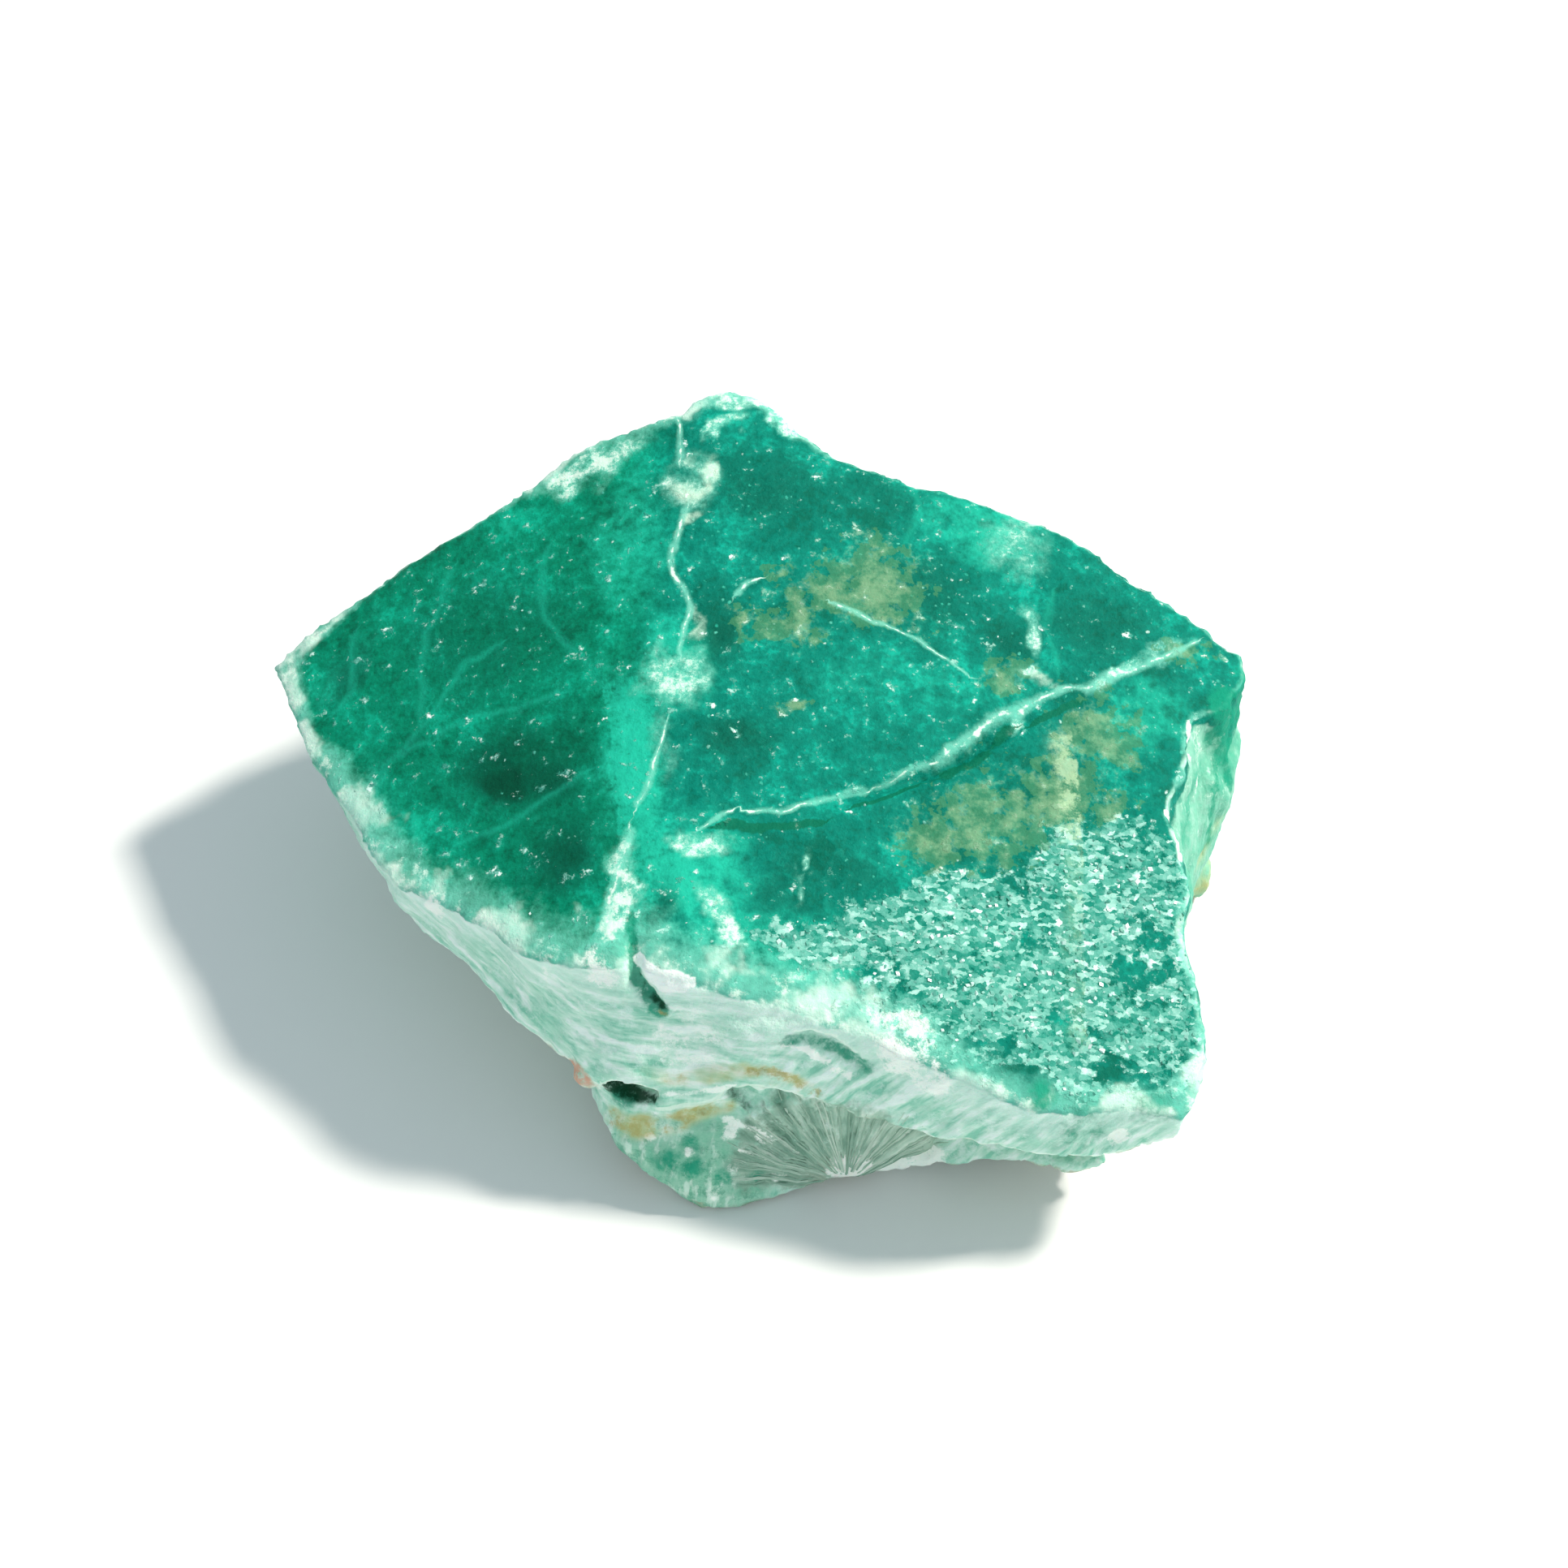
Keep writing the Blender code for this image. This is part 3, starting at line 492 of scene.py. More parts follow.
def wandered(places, moves):
    """Places moved about by noise. Each move is (reach, length)."""
    for reach, length in moves:
        shift = [noise_at(places + turn, length, 2) for turn in (7.0, 61.0, 127.0)]
        places = places + reach * np.stack(shift, axis=1)
    return places


def top_plane(places):
    """The height of the broken top face, without its roughness, over each place."""
    planes = np.stack([a * places[:, 0] + b * places[:, 1] + c
                       for a, b, c in (LEFT_PLANE, RIGHT_PLANE, FRONT_PLANE)])
    lowest = planes.min(axis=0)
    spread = np.exp((lowest - planes) / FOLD_SOFTNESS).sum(axis=0)
    return lowest - FOLD_SOFTNESS * np.log(spread)


def spots_on_top(places, spots, soft=None):
    """The strongest of some oval spots at each place.

    It fades out at a spot's edge over the soft share of its radius. With no soft share it
    falls evenly instead: 1 in the middle of a spot, 0 at its edge, and below 0 past it.
    """
    field = np.full(len(places), 0.0 if soft else -2.0)
    for x, y, one, other, turn, strength in spots:
        angle = math.radians(turn)
        along = (places[:, 0] - x) * math.cos(angle) + (places[:, 1] - y) * math.sin(angle)
        across = (places[:, 1] - y) * math.cos(angle) - (places[:, 0] - x) * math.sin(angle)
        out = np.hypot(along / one, across / other)
        spot = strength * (1 - smooth(out, 1 - soft, 1 + soft / 2)) if soft else strength - out
        field = np.maximum(field, spot)
    return field


def marks_in_space(places, spots=(), lines=()):
    """The strongest of some round spots and some lines at each place."""
    field = np.zeros(len(places))
    for x, y, z, radius, strength in spots:
        out = np.linalg.norm(places - (x, y, z), axis=1) / radius
        field = np.maximum(field, strength * (1 - smooth(out, 0.2, 1.25)))
    for path, first, last, strength in lines:
        distance, share = path_distance(places, path)
        out = np.abs(distance) / (first + (last - first) * share)
        field = np.maximum(field, strength * (1 - smooth(out, 0.5, 1.4)))
    return field


def path_distance(places, path):
    """The distance to a path in plan or in space, and the share of the way along it.

    The distance is signed by the side of the path, in plan, that the place is on.
    """
    best = np.full(len(places), 1e9)
    share = np.zeros(len(places))
    corners = np.array(path, float)
    places = places[:, :corners.shape[1]]
    lengths = np.linalg.norm(np.diff(corners, axis=0), axis=1)
    start = 0.0
    for a, b, length in zip(corners, corners[1:], lengths):
        run = (b - a) / length
        along = np.clip((places - a) @ run, 0, length)
        offset = places - a - along[:, None] * run
        distance = np.linalg.norm(offset, axis=1)
        side = np.sign(run[0] * offset[:, 1] - run[1] * offset[:, 0])
        nearer = distance < np.abs(best)
        best = np.where(nearer, distance * side, best)
        share = np.where(nearer, (start + along) / lengths.sum(), share)
        start += length
    return best, share


def lines_on_top(places, lines):
    """Signed distance to the nearest line in half widths, and how near it is, from 0 to 1."""
    nearest = np.full(len(places), 1e6)
    near = np.zeros(len(places))
    for path, first, last in lines:
        distance, share = path_distance(places, path)
        half = first + (last - first) * share
        closer = np.abs(distance / half) < np.abs(nearest)
        nearest = np.where(closer, distance / half, nearest)
        near = np.maximum(near, 1 - smooth(np.abs(distance), half + 0.25, half + 0.6))
    return np.clip(nearest, -9, 9), near


def edge_fields(places, top):
    """How far inside the pale border (partly painted glow) each vertex is, and how far within the
    green crystal.

    The border is 1 at the edge of the top face and 0 where it ends. The green crystal ends
    on the sides where the second number falls to 0.5.
    """
    below = top_plane(places) - places[:, 2]
    sides = np.flatnonzero((top < ON_TOP) & (below < RIM_DEPTH))
    tree = kdtree.KDTree(len(sides))
    for index in sides:
        tree.insert(Vector((*places[index, :2], 0)), int(index))
    tree.balance()
    edge = np.maximum(below, 0)
    for index in np.flatnonzero(top >= ON_TOP):
        edge[index] = tree.find(Vector((*places[index, :2], 0)))[2]
    spots = np.array(EDGES)
    away = np.linalg.norm(places[:, None, :2] - spots[None, :, :2], axis=2)
    weights = 1 / (away + 1.0) ** 4
    reach, depth = (weights @ spots[:, 2:] / weights.sum(axis=1)[:, None]).T
    return np.clip(1 - edge / reach, -2, 1), np.maximum(top, np.clip(1.5 - below / depth, 0, 1))


def spray_share(angle):
    """Where an angle lies in the spray, from 0 on its left to 1 on its right."""
    return (angle - SPRAY_FAN[0]) / (SPRAY_FAN[1] - SPRAY_FAN[0])


def spray_on_front(places):
    """How much of the spray is at each vertex, and its angle and distance from the root."""
    x, z = places[:, 0] - SPRAY_ROOT[0], places[:, 2] - SPRAY_ROOT[2] + SPRAY_DROP
    angle, out = np.arctan2(z, x), np.hypot(x, z)
    share = spray_share(angle)
    side, middle = SPRAY_LENGTH
    reach = side + (middle - side) * np.sin(math.pi * np.clip(share, 0, 1))
    inside = smooth(share, -0.05, 0.14) * (1 - smooth(share, 0.88, 1.04))
    spray = inside * (1 - smooth(out / reach, 0.78, 1.1)) * (1 - smooth(places[:, 1], -14, -12))
    return spray, angle, out


# ---------------------------------------------------------------- the stone's body


def remeshed_copy(node, face_size):
    """A copy of a CAD node, in millimetres, made of even faces of about this size."""
    data = bmesh.new()
    data.from_mesh(node.data)
    bmesh.ops.remove_doubles(data, verts=data.verts, dist=1e-7)
    bmesh.ops.scale(data, verts=data.verts, vec=(1 / MM,) * 3)
    mesh = bpy.data.meshes.new("broken_stone")
    data.to_mesh(mesh)
    data.free()
    stone = bpy.data.objects.new("broken_stone", mesh)
    bpy.context.scene.collection.objects.link(stone)
    remesh = stone.modifiers.new("even_faces", "REMESH")
    remesh.mode = "VOXEL"
    remesh.voxel_size = face_size / MM
    plain_mesh(stone)
    return stone


def plain_mesh(obj):
    """Turns an object's modifiers into a plain mesh."""
    graph = bpy.context.evaluated_depsgraph_get()
    result = bpy.data.meshes.new_from_object(obj.evaluated_get(graph))
    obj.modifiers.clear()
    old = obj.data
    obj.data = result
    bpy.data.meshes.remove(old)
    obj.data.name = obj.name


def points_of(mesh):
    """The vertices of a mesh, as an array."""
    places = np.empty(len(mesh.vertices) * 3, np.float32)
    mesh.vertices.foreach_get("co", places)
    return places.reshape(-1, 3).astype(float)


def normals_of(mesh):
    """The directions that the surface faces at the vertices, as an array."""
    ways = np.empty(len(mesh.vertices) * 3, np.float32)
    mesh.vertex_normals.foreach_get("vector", ways)
    return ways.reshape(-1, 3).astype(float)


def set_points(mesh, places):
    """Moves the vertices of a mesh."""
    mesh.vertices.foreach_set("co", places.astype(np.float32).ravel())
    mesh.update()


def relaxed(mesh, places, share, rounds):
    """Moves each vertex this share of the way to the middle of its neighbours, some times."""
    ends = np.empty(len(mesh.edges) * 2, np.int32)
    mesh.edges.foreach_get("vertices", ends)
    one, other = ends.reshape(-1, 2).T
    count = np.bincount(one, minlength=len(places)) + np.bincount(other, minlength=len(places))
    for _ in range(rounds):
        total = np.zeros_like(places)
        for axis in range(3):
            total[:, axis] = (
                np.bincount(one, weights=places[other, axis], minlength=len(places))
                + np.bincount(other, weights=places[one, axis], minlength=len(places)))
        places = places + share[:, None] * (total / count[:, None] - places)
    return places


def region_fields(places, ways):
    """Where each vertex is: on the top face, how far below it, and how much it faces down."""
    below = top_plane(places) - places[:, 2]
    groove = 1 - smooth(np.abs(path_distance(places, [p for line in TROUGHS for p in line[0]])[0]),
                        0.7, 1.2)
    top = (1 - smooth(below, 0.45, 0.85)) * smooth(ways[:, 2], 0.35, 0.7)
    top = np.maximum(top, groove * (1 - smooth(below, 1.2, 1.6)))
    under = smooth(-ways[:, 2], 0.25, 0.6) * (1 - smooth(places[:, 2], 7.0, 10.0))
    # Where the rim turns under at the front: the material paints it pale there, as painted glow of
    # light through the thin edge.
    lip = smooth(-ways[:, 2], 0.05, 0.3) * (1 - smooth(-ways[:, 2], 0.5, 0.8)) * smooth(
        places[:, 2], 4.0, 6.0) * (1 - smooth(places[:, 1], -12, -8))
    return {"top": top, "below": below, "under": under, "lip": lip}


def run_weights(places):
    """How much each of the fibre directions counts at each vertex."""
    weights = np.stack([np.exp(-(np.linalg.norm(places - middle, axis=1) / reach) ** 4) + 0.02
                        for _, middle, reach in FIBRE_RUNS.values()])
    # Where no run reaches, the last one holds: fibres that stand upright.
    weights[-1] += 0.1
    return weights / weights.sum(axis=0)


def relief(places, regions, weights, settings):
    """How far each vertex moves outwards for the roughness of its part of the stone."""
    side = 1 - regions["top"]
    ridges = sum(weight * fibres_at(places, run, *RIDGE_SIZE)
                 for weight, (run, _, _) in zip(weights, FIBRE_RUNS.values()))
    grain = noise_at(places, FINE_GRAIN, 3) + 0.6 * noise_at(places + 40, COARSE_GRAIN, 2)
    knobs = noise_at(places + 90, KNOB_SIZE, 2)
    return (settings.top_relief / MM * regions["top"] * grain
            + settings.rim_relief / MM * side * (ridges + 0.5 * grain)
            + KNOB_HEIGHT * regions["under"] * knobs)


def keep_inside(places):
    """Holds the vertices within the CAD model's box."""
    low, high = (np.array(corner) / MM for corner in CAD_BOX)
    return np.clip(places, low + BOX_MARGIN, high - BOX_MARGIN)


def store(mesh, name, values):
    """Keeps one number per vertex under a name that the materials read."""
    layer = mesh.attributes.new(name, "FLOAT", "POINT")
    layer.data.foreach_set("value", values.astype(np.float32))


def colour_fields(places, regions, weights):
    """What the material reads at each vertex: where its colours and lines are."""
    top = regions["top"]
    moved = wandered(places, SPOT_WANDER)
    bent = wandered(places, LINE_WANDER)
    shaken = wandered(places, MARK_WANDER)
    band, _ = path_distance(bent, FOLD_BAND)
    band_near = (1 - smooth(np.abs(band), 1.4, 3.4)) * smooth(moved[:, 1], -14.5, -13) * (
        1 - smooth(moved[:, 1], 0.6, 2.8))
    fault, along_fault = path_distance(shaken, FAULT)
    fault_near = (0.3 + 0.7 * smooth(along_fault, 0.45, 0.75)) * (
        1 - smooth(np.abs(fault), 0.1, 2.0)) * (1 - smooth(places[:, 1], -1.4, 0.8))
    frost = spots_on_top(moved, FROST_SPOTS, 0.5) * (
        1 - spots_on_top(moved, BARE_SPOTS, 0.6)) * top
    spray, spray_angle, spray_out = spray_on_front(places)
    border, skin = edge_fields(places, top)
    fields = {
        "top": top, "under": regions["under"], "left": smooth(-places[:, 0], 3.6, 7.5),
        "below": np.clip(regions["below"], -1, 20),
        "olive": spots_on_top(moved, OLIVE_SPOTS), "border": border, "skin": skin,
        "band": np.clip(band, -3, 3), "band_near": band_near,
        "fault": np.clip(fault, -3, 3), "fault_near": fault_near,
        "frost": 2 * frost - 1, "lip": regions["lip"],
        "spray": spray, "spray_angle": spray_angle, "spray_out": spray_out,
    }
    for name, spots in (("dark", DARK_SPOTS), ("aqua", AQUA_SPOTS), ("milky", MILKY_SPOTS),
                        ("cream", CREAM_SPOTS)):
        fields[name] = spots_on_top(moved, spots, 0.8)
    for name, lines in (("vein", VEINS), ("hair", HAIRLINES), ("trough_shade", TROUGHS)):
        fields[name], near = lines_on_top(bent, lines)
        fields[name + "_near"] = near * top
    for name, where, spots, lines in (
            ("limonite", shaken, LIMONITE_SPOTS, LIMONITE_LINES), ("pink", places, PINK_SPOTS, ()),
            ("white", shaken, WHITE_SPOTS, WHITE_LINES), ("flake", bent, (), FLAKES),
            ("green", shaken, GREEN_SPOTS, GREEN_AND_SHADE_LINES), ("recess_shade", places, PAINTED_SHADE_SPOTS, PAINTED_SHADE_LINES)):
        fields[name] = marks_in_space(where, spots, lines)
    fields.update(("run_" + name, weight) for name, weight in zip(FIBRE_RUNS, weights))
    return fields


def grain_density(places, fields):
    """How thickly cleavage grains stand at each vertex, from 0 to 1."""
    low, high = (np.array(corner) / MM for corner in CAD_BOX)
    # No grain stands so near the CAD model's box that it could reach past it.
    clear = smooth((high - places).min(axis=1), 0.2, 0.5) * smooth(
        (places - low).min(axis=1), 0.2, 0.5)
    patches = 0.5 + 0.5 * noise_at(places, 1.6, 2)
    sparse = 0.012 * patches * (1 - 0.85 * fields["left"])
    bare = 1 - 0.7 * smooth(fields["olive"], -0.2, 0.4)
    dense = 0.6 * np.clip(fields["frost"], 0, 1) * (0.2 + 1.0 * patches)
    return np.clip(fields["top"] * (sparse + dense) * bare, 0, 1) * clear


class SMITHSONITE_OT_stone(bpy.types.Operator):
    """Makes the body of the stone, with its relief and its colours"""

    bl_idname = "smithsonite.stone"
    bl_label = "Stone"

    def execute(self, context):
        settings = context.scene.smithsonite_stone
        stone = remeshed_copy(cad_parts["smithsonite"], settings.mesh_size)
        mesh = stone.data
        places = points_of(mesh) + OFFSET
        regions = region_fields(places, normals_of(mesh))
        inner = regions["top"] * (1 - smooth(regions["below"], 0.15, 0.45))
        share = TOP_SMOOTHING * inner + SIDE_SMOOTHING
        places = relaxed(mesh, places, share, SMOOTHING_ROUNDS)
        set_points(mesh, places)
        weights = run_weights(places)
        shift = relief(places, regions, weights, settings)
        places = places + normals_of(mesh) * shift[:, None]
        fields = colour_fields(places, regions, weights)
        fields["density"] = grain_density(places - OFFSET, fields)
        for name, values in fields.items():
            store(mesh, name, values)
        set_points(mesh, keep_inside(places - OFFSET) * MM)
        mesh.polygons.foreach_set("use_smooth", np.ones(len(mesh.polygons), bool))
        mesh.materials.clear()
        mesh.materials.append(green_smithsonite(settings))
        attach(stone, "root")
        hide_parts("smithsonite")
        return {"FINISHED"}


# ---------------------------------------------------------------- materials


def ragged_patch(tree, name, cloud, wander, low, high, most=1.0):
    """The share of a mark, whose field is 0 away from it: full where it is over high.

    The cloud makes the field uneven, but puts nothing where the field is 0.
    """
    field = add(tree, "ShaderNodeAttribute", attribute_name=name).outputs["Fac"]
    uneven = add(tree, "ShaderNodeMath", cloud, wander, 1 - wander / 2, operation="MULTIPLY_ADD")
    uneven = add(tree, "ShaderNodeMath", uneven, field, operation="MULTIPLY")
    return add(tree, "ShaderNodeMapRange", uneven, low, high, 0.0, most,
               interpolation_type="SMOOTHSTEP")


def ragged_edge(tree, name, cloud, wander, low, high, most=1.0):
    """The share of a mark, whose field falls evenly past its edge: the cloud moves the edge."""
    field = add(tree, "ShaderNodeAttribute", attribute_name=name).outputs["Fac"]
    uneven = add(tree, "ShaderNodeMath", cloud, wander, field, operation="MULTIPLY_ADD")
    return add(tree, "ShaderNodeMapRange", uneven, low + wander / 2, high + wander / 2, 0.0, most,
               interpolation_type="SMOOTHSTEP")


def one_sided(tree, name, cloud, wander, most):
    """The share of a mark that starts at a crisp line and fades away on one side of it."""
    step = ragged_edge(tree, name, cloud, 0.4, -0.06, 0.08)
    near = ragged_patch(tree, name + "_near", cloud, wander, 0.0, 1.2, most)
    return add(tree, "ShaderNodeMath", step, near, operation="MULTIPLY")


def ragged_line(tree, name, cloud, wander, low, high, most=1.0):
    """The share of a line: 0 past high half widths from its middle, and most within low."""
    field = add(tree, "ShaderNodeAttribute", attribute_name=name).outputs["Fac"]
    near = add(tree, "ShaderNodeAttribute", attribute_name=name + "_near").outputs["Fac"]
    away = add(tree, "ShaderNodeMath", field, operation="ABSOLUTE")
    uneven = add(tree, "ShaderNodeMath", cloud, wander, away, operation="MULTIPLY_ADD")
    share = add(tree, "ShaderNodeMapRange", uneven, high + wander / 2, low + wander / 2, 0.0, most,
                interpolation_type="SMOOTHSTEP")
    return add(tree, "ShaderNodeMath", share, near, operation="MULTIPLY")


def fibre_streaks(tree, place):
    """Noise drawn out along the fibres of each part of the sides."""
    total = 0.0
    for name, (run, _, _) in FIBRE_RUNS.items():
        turn = Vector(run).to_track_quat("Z", "Y").to_euler()
        drawn = add(tree, "ShaderNodeMapping", place, None, turn,
                    (FIBRE_WIDTH, FIBRE_WIDTH, FIBRE_LENGTH), vector_type="TEXTURE")
        drawn = add(tree, "ShaderNodeTexNoise", drawn, 1.0, 3.0, 0.55)
        weight = add(tree, "ShaderNodeAttribute", attribute_name="run_" + name).outputs["Fac"]
        total = add(tree, "ShaderNodeMath", drawn, weight, total, operation="MULTIPLY_ADD")
    return total


def spray_streaks(tree):
    """Noise drawn out along the fibres of the spray, from its root."""
    turn, out = [add(tree, "ShaderNodeAttribute", attribute_name="spray_" + name).outputs["Fac"]
                 for name in ("angle", "out")]
    # A bundle of fibres is about 0.4 mm wide, 4 mm out from the root: 1 / 10 of a radian.
    spread = add(tree, "ShaderNodeMath", turn, 10.0, operation="MULTIPLY")
    along = add(tree, "ShaderNodeMath", out, 0.3, operation="MULTIPLY")
    return add(tree, "ShaderNodeTexNoise", add(tree, "ShaderNodeCombineXYZ", spread, along, 0.0),
               1.0, 3.0, 0.6)


def frost_faces(tree, place, fine):
    """Cleavage faces where the frost stands: angular cells, long from side to side.

    Gives the cells' random numbers, which set each face's tone and its lean.
    """
    jagged = add(tree, "ShaderNodeVectorMath", fine.outputs["Color"], (0.3, 0.3, 0.3), place,
                 operation="MULTIPLY_ADD")
    turned = add(tree, "ShaderNodeMapping", jagged, None, (0.5, 0.3, 0.25), (0.6, 1.0, 1.0))
    return add(tree, "ShaderNodeTexVoronoi", turned, 1 / FROST_FACE, distance="CHEBYCHEV")


def sparse_specks(tree, place, fine, thick, left):
    """Small loose cleavage faces on the clear crystal: in flocks, and fewer on the left. Their
    pale tones are partly pale grain, partly painted glints.

    Each stands in the middle of a cell, and reaches about 0.1 mm out from there.
    """
    jagged = add(tree, "ShaderNodeVectorMath", fine.outputs["Color"], (0.25, 0.25, 0.25), place,
                 operation="MULTIPLY_ADD")
    cells = add(tree, "ShaderNodeTexVoronoi", jagged, 1 / SPECK_CELL)
    chances = add(tree, "ShaderNodeSeparateColor", cells.outputs["Color"]).outputs
    wanted = weighted_sum(tree, 1.24, (left, 0.12), (thick, -0.75))
    chosen = add(tree, "ShaderNodeMath", chances["Red"], wanted, operation="GREATER_THAN")
    middle = weighted_sum(tree, cells.outputs["Distance"], (fine, 0.6), (chances["Blue"], 0.15))
    middle = add(tree, "ShaderNodeMapRange", middle, 0.66, 0.45, 0.0, 0.8)
    speck = add(tree, "ShaderNodeMath", chosen, middle, operation="MULTIPLY")
    colour = add(tree, "ShaderNodeValToRGB", chances["Green"], stops=(
        (0.0, "#2AAB92"), (0.8, "#57BDA6"), (0.95, "#9AD8C8"), (1.0, "#DCF6EE")))
    return speck, colour


def green_smithsonite(settings):
    """Crystalline zinc carbonate, broken and unpolished.

    Clear green where it is thick, milky where it is clouded, with sugary grain on the top
    face and silky fibres on the sides: a waxy shine, and small bright grains, partly painted
    glints.
    """
    material, tree, shader = new_material("green_smithsonite")
    place = add(tree, "ShaderNodeVectorMath", add(tree, "ShaderNodeTexCoord").outputs["Object"],
                operation="SCALE", named={"Scale": 1 / MM})
    clouds, mottle, fine, lace, coast, thick = [
        add(tree, "ShaderNodeTexNoise", place, 1 / size, detail, roughness)
        for size, detail, roughness in STONE_NOISES]
    left, below, turn, out = [
        add(tree, "ShaderNodeAttribute", attribute_name=name).outputs["Fac"]
        for name in ("left", "below", "spray_angle", "spray_out")]

    # The top face: clear crystal, mottled at three scales.
    grain = weighted_sum(tree, 0.0, (clouds, 0.6), (mottle, 0.35), (fine, 0.3))
    teal = add(tree, "ShaderNodeValToRGB", grain, stops=(
        (0.48, "#006350"), (0.57, "#007463"), (0.65, settings.teal), (0.78, "#0CA790")))
    green = add(tree, "ShaderNodeValToRGB", grain, stops=(
        (0.48, "#006348"), (0.57, "#00795B"), (0.65, settings.body_green), (0.78, "#0BAA8A")))
    surface = add(tree, "ShaderNodeMix", left, teal, green, data_type="RGBA")

    speck, speck_and_glint_colour = sparse_specks(tree, place, fine, thick, left)
    faces = frost_faces(tree, place, fine)
    frost = ragged_edge(tree, "frost", mottle, 7.0, -0.3, 0.3, 0.92)
    face_tones = add(tree, "ShaderNodeSeparateColor", faces.outputs["Color"]).outputs
    # A face's tone runs from about 0.1 to 0.9, with the mottling added to its random share.
    face_tone = weighted_sum(tree, 0.0, (face_tones["Red"], 0.6), (mottle, 0.8))
    face_tone = add(tree, "ShaderNodeMath", face_tone, 0.2, operation="SUBTRACT")
    # The frost faces' palest tones are partly pale grain, partly painted glints.
    face_and_glint_colour = add(tree, "ShaderNodeValToRGB", face_tone, stops=(
        (0.15, "#128873"), (0.38, "#3F9D8A"), (0.60, "#6FB6A6"), (0.78, "#A3D5C9"),
        (0.92, "#F0FCF9")))
    milky_glow = "#7FD6C0"
    surface = layered(tree, surface, [
        (add(tree, "ShaderNodeMapRange", lace, 0.56, 0.76, 0.0, 0.3), "#2FB59B"),
        (ragged_patch(tree, "aqua", mottle, 3.0, 0.05, 1.0, 0.85), settings.aqua),
        (ragged_patch(tree, "dark", clouds, 2.4, 0.0, 1.0, 0.92), settings.deep_green),
        (one_sided(tree, "band", fine, 4.0, 0.5), settings.aqua),
        (ragged_line(tree, "hair", mottle, 5.0, -0.4, 2.2, 0.3), settings.aqua),
        # Pale specks and frost faces: pale grain, with painted glints in their whitest tones.
        (speck, speck_and_glint_colour),
        (frost, face_and_glint_colour),
        # The pale border at the edge of the top face: pale crystal, with painted glow of light
        # through the thin edge.
        (ragged_edge(tree, "border", mottle, 2.2, -0.6, 1.0, 0.6), milky_glow),
        (ragged_edge(tree, "border", thick, 6.0, 0.3, 1.5, 0.8), settings.mint),
        (ragged_edge(tree, "border", lace, 6.0, 0.9, 1.7, 0.6), settings.milk),
        (ragged_patch(tree, "milky", lace, 4.0, 0.1, 1.0, 0.7), milky_glow),
        (ragged_patch(tree, "milky", lace, 7.0, 0.6, 1.5, 0.8), settings.milk),
        (ragged_patch(tree, "cream", mottle, 3.0, 0.1, 1.3, 0.75), settings.cream),
        (ragged_edge(tree, "olive", coast, 4.5, -0.03, 0.08, 0.6), settings.olive),
        (ragged_edge(tree, "olive", mottle, 6.0, -0.2, 1.5, 0.5), "#93B48A"),
        (one_sided(tree, "fault", lace, 9.0, 0.6), "#BFDCB2"),
        # Painted shade in the trough under the groove's lip.
        (ragged_line(tree, "trough_shade", fine, 1.2, 0.8, 1.2, 0.85), "#04664A"),
        (ragged_line(tree, "vein", lace, 9.0, 0.4, 4.6, 0.6), milky_glow),
        (ragged_line(tree, "vein", mottle, 12.0, -0.9, 0.8, 0.9), settings.milk)])

    # The sides: silky mint fibres, in the direction of each part of the rim.
    streaks = fibre_streaks(tree, place)
    sides = add(tree, "ShaderNodeValToRGB", streaks, stops=(
        (0.38, "#88C9B1"), (0.46, "#B3E0CD"), (0.53, settings.mint), (0.60, "#F0FCF8")))
    rays = spray_streaks(tree)
    spray = add(tree, "ShaderNodeValToRGB", rays, stops=(
        (0.32, "#668C79"), (0.46, "#8BB09C"), (0.58, "#ABCAB7"), (0.70, "#D3E4D6")))
    spray = layered(tree, spray, [
        (add(tree, "ShaderNodeMapRange", out, 3.6, 0.8, 0.0, 0.6), "#CDD0BE"),
        (add(tree, "ShaderNodeMapRange", turn, 1.5, 0.7, 0.0, 0.5), "#BFD6C4"),
        (add(tree, "ShaderNodeMapRange", turn, 1.8, 2.4, 0.0, 0.35), "#557C69")])
    sides = layered(tree, sides, [
        (add(tree, "ShaderNodeMapRange", thick, 0.50, 0.68, 0.0, 0.6), "#8CCDB2"),
        (add(tree, "ShaderNodeMapRange", lace, 0.52, 0.66, 0.0, 0.6), "#EEFBF7"),
        # Paler just below the top edge: partly pale crystal, partly painted glow of light through
        # the thin edge.
        (add(tree, "ShaderNodeMapRange", below, 2.8, 0.3, 0.0, 0.6), "#E2F9F0"),
        (ragged_patch(tree, "run_upright", streaks, 5.0, -0.1, 0.8, 0.8), "#5FB397"),
        (ragged_patch(tree, "run_upright", clouds, 8.0, 0.5, 1.6, 0.7), "#3AA487"),
        (ragged_patch(tree, "run_upright", lace, 8.0, 1.4, 2.3, 0.6), settings.milk),
        (ragged_patch(tree, "run_lobe", thick, 2.0, 0.25, 0.8, 0.7), "#72B597"),
        (ragged_patch(tree, "run_lobe", lace, -8.0, 0.75, 1.3, 0.6), "#4B997C"),
        (ragged_patch(tree, "run_lobe", streaks, 7.0, 0.9, 1.5, 0.7), "#CFE9DA"),
        # Painted glow: the lip where the rim turns under, paler as if lit through its thin edge.
        (ragged_patch(tree, "lip", lace, 2.0, 0.15, 0.6, 0.6), settings.milk),
        (ragged_patch(tree, "spray", mottle, 3.0, 0.2, 0.8), spray),
        (ragged_patch(tree, "under", lace, 5.0, 0.2, 1.3, 0.65), settings.rust)])

